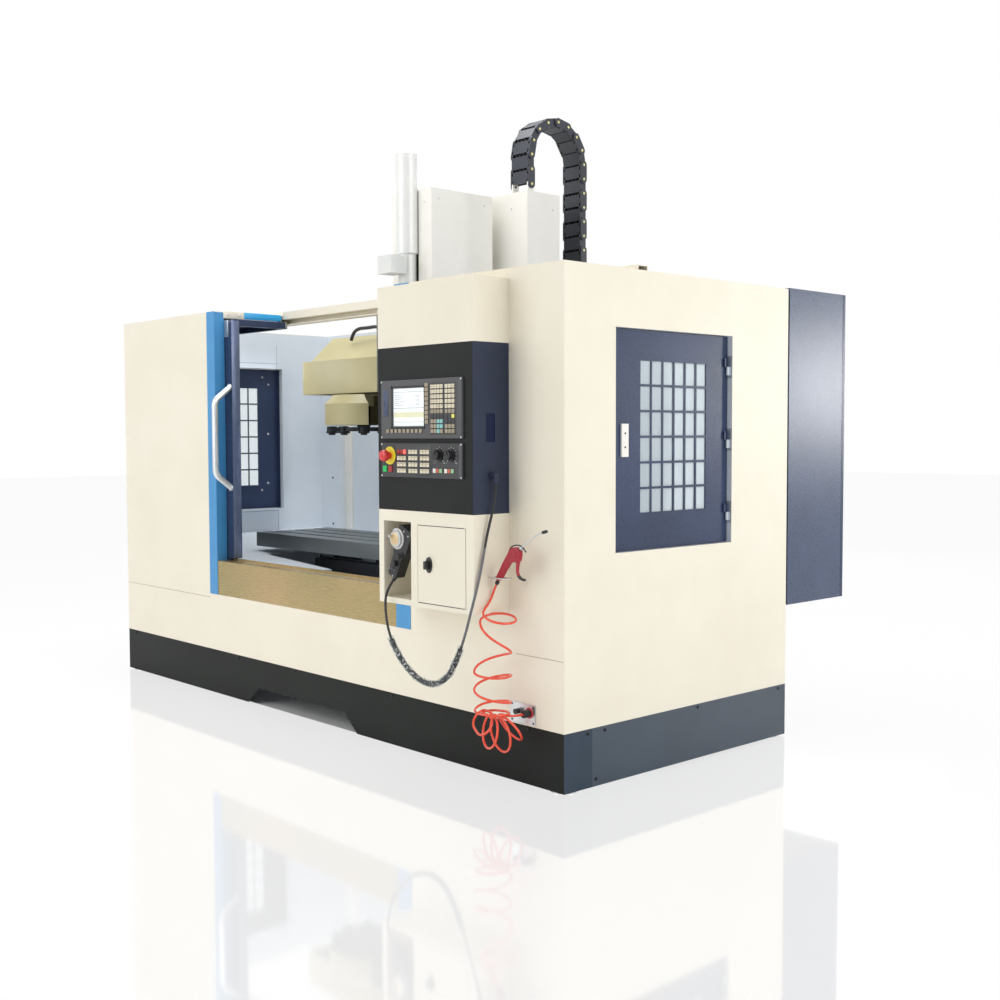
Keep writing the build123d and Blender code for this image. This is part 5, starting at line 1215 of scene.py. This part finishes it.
    def machine_keys(self) -> None:
        """Caps of the control panel, the lamp of the running mode among them."""
        (x0, z0), (dx, dz) = self.machine_first, self.machine_pitch
        places = [(x0 + self.machine_block * block + dx * column, z0 + dz * row)
                  for block in range(3) for column in range(3) for row in range(4)]
        modes = [(x0 + dx * column, z0 + 3 * dz) for column in range(3)]
        plain = [place for place in places if place not in modes]
        self.caps("keycaps_machine", KEY_CREAM, self.square, plain)
        self.caps("keycaps_mode", DARK_RED, self.square, modes[:2])
        self.caps("mode_lamp", Glow("led_red", "#FF5A50", 1.2, "red_plastic"), self.square, modes[2:])
        for index, (name, finish) in enumerate((("pale", KEY_PALE), ("red", KEY_RED), ("green", KEY_GREEN))):
            spindle = [(x + dx * index, self.spindle_z) for x in self.spindle_x]
            self.caps(f"keycaps_spindle_{name}", finish, self.square, spindle)
        (low_x, low_y, low_z), (high_x, high_y, high_z) = self.machine_mark
        y = self.top
        bars = [Bench.box((x + low_x, y + low_y, z + low_z), (x + high_x, y + high_y, z + high_z), 0.1, 1)
                for x, z in plain]
        Bench.finish("machine_key_marks", BLACK_ABS, *bars)

    def prints(self) -> None:
        """Legends of the caps, scales round the override knobs, lines and figures on the screen."""
        legends = []
        for row, texts in enumerate(self.legends):
            for column, text in enumerate(texts):
                (x, z), (right, above) = self.cell(row, column), self.legend_place
                legends.append(Bench.label(text, (x + right, self.top - 0.02, z + above), self.legend_size))
        Bench.finish("key_legends", BLACK_ABS, *legends)
        scales, (near, short, tall), (aside, below) = [], self.dial_radii, self.dial_figures
        for x, last in self.dials:
            centre = (x, self.dial_face, self.dial_level)
            scales += [Bench.tick(self.dial_from - self.dial_step * step, near, short if step % 5 else tall,
                                  self.dial_line, centre) for step in range(11)]
            scales += [Bench.label(text, (x + side, self.dial_face, self.dial_level + below),
                                   self.dial_figure_size) for text, side in (("0", -aside), (last, aside))]
        Bench.finish("knob_scales", DIAL_WHITE, *scales)
        lines = [Bench.box((x0, self.face - 0.15, z0), (x1, self.face + 0.1, z1), 0)
                 for x0, z0, x1, z1 in self.rules]
        lines += [Bench.label(text, (self.reading_x, self.face - 0.15, z), self.reading_size)
                  for text, z in self.readings]
        Bench.finish("screen_print", SCREEN_LINE, *lines)

    def build(self) -> None:
        """Make everything on the panels."""
        self.display_keys()
        self.machine_keys()
        self.prints()
        for part in self.parts:
            part.build()
        card = Bench.box((797, -165.6, 1218), (822, -163.9, 1310), 1.2)
        grip = Bench.box((800, -166.8, 1258), (804, -165.2, 1272), 0.6)
        Bench.finish("memory_card_cover", SLATE_CABINET, card, grip)


@dataclass
class BlowGun:
    """Air blow gun: moulded body, bent steel tube with a tip, wire bail, lever and hose nut."""

    middle: float = -80.0
    origin: Pair = (1350.0, 740.0)
    outline: tuple[Pair, ...] = (
        (1291, 694), (1290, 687), (1296, 682), (1304, 682), (1308, 687), (1330, 716), (1351, 741),
        (1362, 748), (1386, 747), (1396, 752), (1401, 772), (1400, 786), (1394, 793), (1382, 796),
        (1366, 794), (1353, 785), (1345, 772), (1320, 738))
    thickness: float = 19.0
    edge: float = 6.0
    rib_count: int = 6
    rib_first: Pair = (1300.0, 700.0)
    rib_step: Pair = (6.6, 9.0)
    rib: Point = (8.0, 10.2, 3.0)
    lever: tuple[Pair, ...] = (
        (1387, 762), (1381, 745), (1380, 729), (1381, 713), (1386, 702), (1395, 694), (1408, 690),
        (1418, 689), (1421, 693), (1419, 697), (1408, 698), (1399, 702), (1392, 709), (1389, 718),
        (1390, 732), (1397, 760))
    lever_thickness: float = 9.0
    lever_edge: float = 2.2
    lever_foot: Zone = Zone((1370, -FAR, -FAR), (FAR, FAR, 706), BLACK_ABS)
    tube: tuple[Pair, ...] = ((1402, 792), (1418, 805), (1440, 820), (1466, 836), (1488, 846), (1506, 851))
    bail: tuple[Pair, ...] = (
        (1344, 776), (1346, 784), (1358, 797), (1378, 803), (1400, 802), (1414, 794), (1424, 782))
    parts: tuple[Turnings, ...] = (
        Turnings("air_gun_boss", GUN_RED,
                 ((11, 0), (11, 21), (9.5, 22.5), (6, 22.5), (5.4, 21.8), (0.4, 21.8)),
                 facing(FRONT, (1380, -68.8, 773)), 24),
        Turnings("air_gun_tube_nut", ZINC, ((5, 0), (7, 1.5), (7, 9), (5.4, 10.5)),
                 facing((0.75, 0, 0.55), (1400, -80, 790)), 6),
        Turnings("air_gun_tip", BLACK_ABS, ((4.4, 0), (5.2, 1.5), (5.2, 18), (3.6, 21), (1.6, 21)),
                 facing((0.95, 0, 0.24), (1499, -80, 849)), 20),
        Turnings("air_gun_hose_nut", BLACK_ABS, ((5.5, 0), (7.5, 2), (7.5, 11), (6, 13)),
                 facing((0.5, 0, 0.866), (1285.5, -80, 669)), 6))

    def flat(self, outline: Sequence[Pair], thickness: float, edge: float) -> Piece:
        """Upright plate from places in the gun's plane."""
        x, z = self.origin
        return Bench.plate([(px - x, pz - z) for px, pz in outline], thickness, (x, self.middle, z), edge)

    def build(self) -> None:
        """Make the gun's pieces."""
        y = self.middle
        body = self.flat(self.outline, self.thickness, self.edge)
        Bench.soften(body, 1.5, 2, 20)
        Bench.smooth(body, 50)
        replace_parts(Bench.finish("air_gun_body", GUN_RED, body), "air_gun")
        (x, z), (dx, dz), (wide, half, tall) = self.rib_first, self.rib_step, self.rib
        feet = [(x + dx * index, z + dz * index) for index in range(self.rib_count)]
        ribs = [Bench.box((x, y - half, z), (x + wide, y + half, z + tall), 1.2) for x, z in feet]
        Bench.finish("air_gun_grip_ribs", GUN_RED, *ribs)
        for name, finish, track, radius in (("air_gun_tube", ZINC, self.tube, 2.6),
                                            ("air_gun_bail", BLACK_STEEL, self.bail, 2.0)):
            Bench.finish(name, finish, Bench.wire([(x, y, z) for x, z in track], radius))
        for part in self.parts:
            part.build()
        red = replace(GUN_RED, name=f"{GUN_RED.name}_air_gun_lever", zones=(self.lever_foot,))
        lever = self.flat(self.lever, self.lever_thickness, self.lever_edge)
        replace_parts(Bench.finish("air_gun_lever", red, lever, body="gun_trigger"), "gun_trigger")


@dataclass
class SheetDetails:
    """Screws, plugs, plates, seams, latch and couplings on the housing."""

    parts: tuple[Part, ...] = (
        Turnings("plinth_screws", BLACK_STEEL, pan_head(6.0), facing(
            FRONT, (-474, 0, 188), (-40, 0, 188), (620, 0, 188), (1350, 0, 188), (-1440, 0, 188)) + facing(
            RIGHT, (1515, 109, 185), (1515, 190, 185), (1515, 674, 188), (1515, 1157, 188), (1515, 147, 30)),
            slot="black_plastic"),
        Turnings("door_frame_screws", ZINC, pan_head(6.0), facing(
            RIGHT, (-1492, 766, 1462), (-1492, 803, 1425), (-1492, 799, 1162), (-1492, 795, 900),
            (-1492, 757, 863)), body="left_service_door"),
        Turnings("post_screws", BLACK_STEEL, pan_head(6.0), facing(
            FRONT, (-1406, 1155, 1169), (-1406, 1155, 922), (-1406, 1155, 669), (-1311, 1200, 1113),
            (-1311, 1200, 835)), slot="black_plastic"),
        Turnings("wall_plugs", BLACK_ABS, ((5, 0), (5, 0.6), (0.5, 0.6)), facing(
            RIGHT, (-1512, 870, 1410), (-1512, 870, 1383), (-1512, 870, 1356), (-1512, 870, 943),
            (-1512, 870, 918), (-1512, 870, 894)), 16),
        Blocks("roof_edge_plate", CREAM, 1, (((-640.5, 44, 1672), (-636.5, 148, 1703)),)),
        Turnings("roof_edge_plate_screws", ZINC, pan_head(4.5),
                 facing(RIGHT, (-636.5, 66, 1688), (-636.5, 126, 1688))),
        Blocks("belt_seams", SEAM, 0.3, (
            ((-1512, -0.5, 431), (-708, 0.3, 433.4)), ((1290, -0.5, 431), (1512, 0.3, 433.4)))),
        # Fold lines drawn in the darker grey of painted shade
        Blocks("side_panel_folds", FOLD_SHADE, 0.3, (
            ((-1512.2, 868, 482), (-1511.2, 871, 1639)), ((-1512.2, 645, 748), (-1511.2, 868, 751)),
            ((-1512.2, 645, 1537), (-1511.2, 868, 1540)))),
        Blocks("rear_corner_cover", WHITE_COAT, 2, (((-1342, 1190, 640), (-1281, 1200.5, 1640)),)),
        Turnings("service_latch_eyes", BLACK_ABS, ((3.5, 0), (3.5, 0.7), (0.4, 0.7)),
                 facing(RIGHT, (1501, 302, 1112), (1501, 302, 1158)), 16, "right_service_door"),
        # Thin strip on the door's leading edge that carries a painted highlight
        Blocks("left_door_highlight_strip", EDGE_HIGHLIGHT, 0.8, (((-586, 51, 612), (-583.6, 90, 1660)),),
               "left_sliding_door"),
        Blocks("roof_edge_film", BRIGHT_BLUE, 1, (((-640.5, 148, 1674), (-637.5, 343, 1703)),)),
        Blocks("cabinet_door_gaskets", BLACK_ABS, 0.4, (
            ((975, -156.8, 585.5), (1212, -155.2, 587.7)), ((975, -156.8, 848.6), (1212, -155.2, 850.8)))),
        Turnings("coupling_ring", RED_ABS, ((18, 0), (18, 1.6), (16.5, 2.4), (13.2, 2.4)),
                 facing(FRONT, (1359, -4, 245)), 32),
        Turnings("port_screws", BLACK_STEEL, pan_head(3.5), facing(
            FRONT, (1277, -4, 213), (1277, -4, 265), (1378, -4, 213), (1378, -4, 265))),
        Turnings("cover_screws", ZINC, pan_head(4.5), facing(
            FRONT, (-90, 599, 2150), (90, 599, 2150), (200, 1003, 2150), (-200, 1003, 2150)) + facing(
            RIGHT, (135, 640, 2160), (135, 900, 2160), (300, 1040, 2150), (300, 1160, 2150)), body="head"))
    rose: Pair = (16.0, 27.0)
    rose_place: Point = (1033.0, -158.5, 718.0)
    rose_thickness: float = 5.0
    bristle: Corners = ((-646, 46.5, 1588), (-640.5, 50.5, 1662))
    bristles: int = 5
    bristle_pitch: float = 8.5
    hose_radius: float = 8.0
    hose: tuple[Point, ...] = (
        (-452, 600, 1590), (-440, 600, 1622), (-396, 600, 1642), (-330, 604, 1640), (-262, 606, 1644),
        (-214, 606, 1622), (-200, 606, 1590))

    def build(self) -> None:
        """Make the fittings of the housing."""
        for part in self.parts:
            part.build()
        (wide, high), angles = self.rose, [math.radians(15 * step) for step in range(24)]
        oval = [(wide * math.cos(angle), high * math.sin(angle)) for angle in angles]
        rose = Bench.plate(oval, self.rose_thickness, self.rose_place, 1.5)
        Bench.finish("cabinet_latch_rose", BLACK_ABS, rose, body="tool_cabinet_door")
        Bench.finish("housing_hose", CABLE, Bench.wire(self.hose, self.hose_radius))
        bristle = Bench.box(*self.bristle, 1)
        steps = [(self.bristle_pitch * index, 0, 0) for index in range(1, self.bristles)]
        others = Bench.copies(bristle, steps)
        Bench.finish("door_top_brush", ZINC, bristle, *others, body="left_sliding_door")


@dataclass
class DoorPull:
    """Bow handle of a sliding door: bent tube on two round feet, over the slimmer tube of the door."""

    name: str
    x: float
    body: str
    radius: float = 13.5
    bottom: float = 924.0
    top: float = 1367.0
    face: float = 50.0
    reach: float = 77.0
    rise: float = 60.0
    ease: float = 50.0
    sunk: float = 1.0
    foot: tuple[Pair, ...] = ((15.4, 0), (15.4, 5), (14.5, 8), (11, 9))

    def build(self) -> None:
        """Make the handle."""
        y = self.face - self.reach
        low, high = self.bottom + self.rise, self.top - self.rise
        share = self.ease / math.hypot(self.reach, self.rise)
        dy, dz = self.reach * share, self.rise * share
        root = self.face - self.sunk
        track = ((root, self.bottom), (y + dy, low - dz), (y, low), (y, low + self.ease),
                 (y, high - self.ease), (y, high), (y + dy, high + dz), (root, self.top))
        bow = Bench.wire([(self.x, depth, height) for depth, height in track], self.radius)
        Bench.finish(self.name, SATIN, bow, body=self.body)
        feet = facing(FRONT, (self.x, self.face, self.bottom), (self.x, self.face, self.top))
        Turnings(f"{self.name}_feet", SATIN, self.foot, feet, 28, self.body).build()


@dataclass
class PulseUnit:
    """Details of the hand-held pulse unit: dial ring, knobs, keys, screws and its hanger."""

    dial: Point = (845.0, -147.25, 795.0)
    radii: Point = (33.0, 31.0, 36.3)
    ticks: int = 40
    line: float = 0.35
    parts: tuple[Part, ...] = (
        Turnings("pulse_dial_ring", DIAL_WHITE, ((37, 0), (37, 0.9), (36, 1.2), (1, 1.2)),
                 facing(FRONT, (845, -146, 795)), 48),
        Turnings("pulse_wheel_cap", BRASS, ((22, 0), (22, 0.8), (19, 1.6), (7, 1.9), (6, 1.2), (0.5, 1.2)),
                 facing(FRONT, (845, -158, 795)), 40, "pendant_wheel"),
        Turnings("pulse_rate_knob", BLACK_ABS, ((13, 0), (13, 3), (10, 5), (9, 14), (7.5, 16), (0.5, 16)),
                 facing(FRONT, (864, -145.5, 736)), 12),
        Blocks("pulse_keys", PANEL, 1.2, (
            ((812, -149, 686), (822, -145.5, 693)), ((826, -149, 680), (836, -145.5, 687)))),
        Blocks("pulse_unit_hanger", BLACK_STEEL, 2, (
            ((872, -112, 826), (904, -104, 846)), ((880, -108, 840), (896, -103, 857)))),
        Turnings("pulse_unit_screws", ZINC, pan_head(3.0), facing(
            FRONT, (884, -146, 822), (906, -146, 806), (818, -146, 664), (800, -146, 690))))

    def build(self) -> None:
        """Make the fittings on the unit's face."""
        short, tall, rim = self.radii
        ticks = [Bench.tick(360 / self.ticks * step, short if step % 10 else tall, rim, self.line, self.dial)
                 for step in range(self.ticks)]
        Bench.finish("pulse_dial_scale", BLACK_ABS, *ticks)
        for part in self.parts:
            part.build()


@dataclass
class EnergyChain:
    """Cable chain from the rear wall over to the head, with the cables that run in it."""

    left: float = 205.0
    pitch: float = 23.3
    count: int = 4
    cable_radius: float = 10.0
    middle: float = 240.0
    near: float = 1034.0
    far: float = 1362.0
    bend_height: float = 2382.0
    foot: float = 1690.0
    start: float = 2262.0

    def build(self) -> None:
        """Make chain and cables."""
        chain = new_piece("energy_chain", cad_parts["cable_chain"].data.copy())
        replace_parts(chain, "cable_chain")
        reach = (self.far - self.near) / 2
        corner = reach * math.tan(math.radians(22.5))
        centre, top = (self.near + self.far) / 2, self.bend_height + reach
        low, high = self.bend_height - corner, self.bend_height + corner
        track = ((self.near, self.start), (self.near, low), (self.near, high), (centre - corner, top),
                 (centre + corner, top), (self.far, high), (self.far, low), (self.far, self.foot))
        levels = [self.left + self.pitch * index for index in range(self.count)]
        wires = [Bench.wire([(x, y, z) for y, z in track], self.cable_radius) for x in levels]
        cables = Bench.join("energy_chain_cables", *wires)
        cables.data.materials.append(CHAIN_CABLE.build())
        for piece in (chain, cables):
            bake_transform(piece)


@dataclass
class Magazine:
    """Pocket sleeves in the magazine's disc."""

    centre: Pair = (-327.0, 575.0)
    level: float = 1155.0
    pitch_radius: float = 150.0
    pockets: int = 10
    profile: tuple[Pair, ...] = (
        (12, 0), (15, 2), (15, 7), (21, 8), (26, 10), (26, 16), (22.5, 17), (22.5, 37), (20, 39))

    def build(self) -> None:
        """Make the sleeves."""
        (x, y), reach = self.centre, self.pitch_radius
        angles = [2 * math.pi * index / self.pockets for index in range(self.pockets)]
        places = [(x + reach * math.cos(angle), y + reach * math.sin(angle), self.level) for angle in angles]
        sleeves = facing(UP, *places)
        Turnings("magazine_pocket_sleeves", TOOL_BLACK, self.profile, sleeves, 28, "tool_disc").build()


def main() -> None:
    """Build the sub-assemblies in order."""
    logging.basicConfig(level=logging.INFO, format="%(name)s %(message)s")
    for assembly in (Studio(), PulseCable(), SpiralHose(), Enclosure(), Keyboard(), BlowGun(),
                     SheetDetails(), DoorPull("left_door_pull", -600.0, "left_sliding_door"),
                     DoorPull("right_door_pull", 611.0, "right_sliding_door"),
                     PulseUnit(), EnergyChain(), Magazine()):
        assembly.build()
    bpy.context.view_layer.update()


if __name__ == "__main__":
    main()
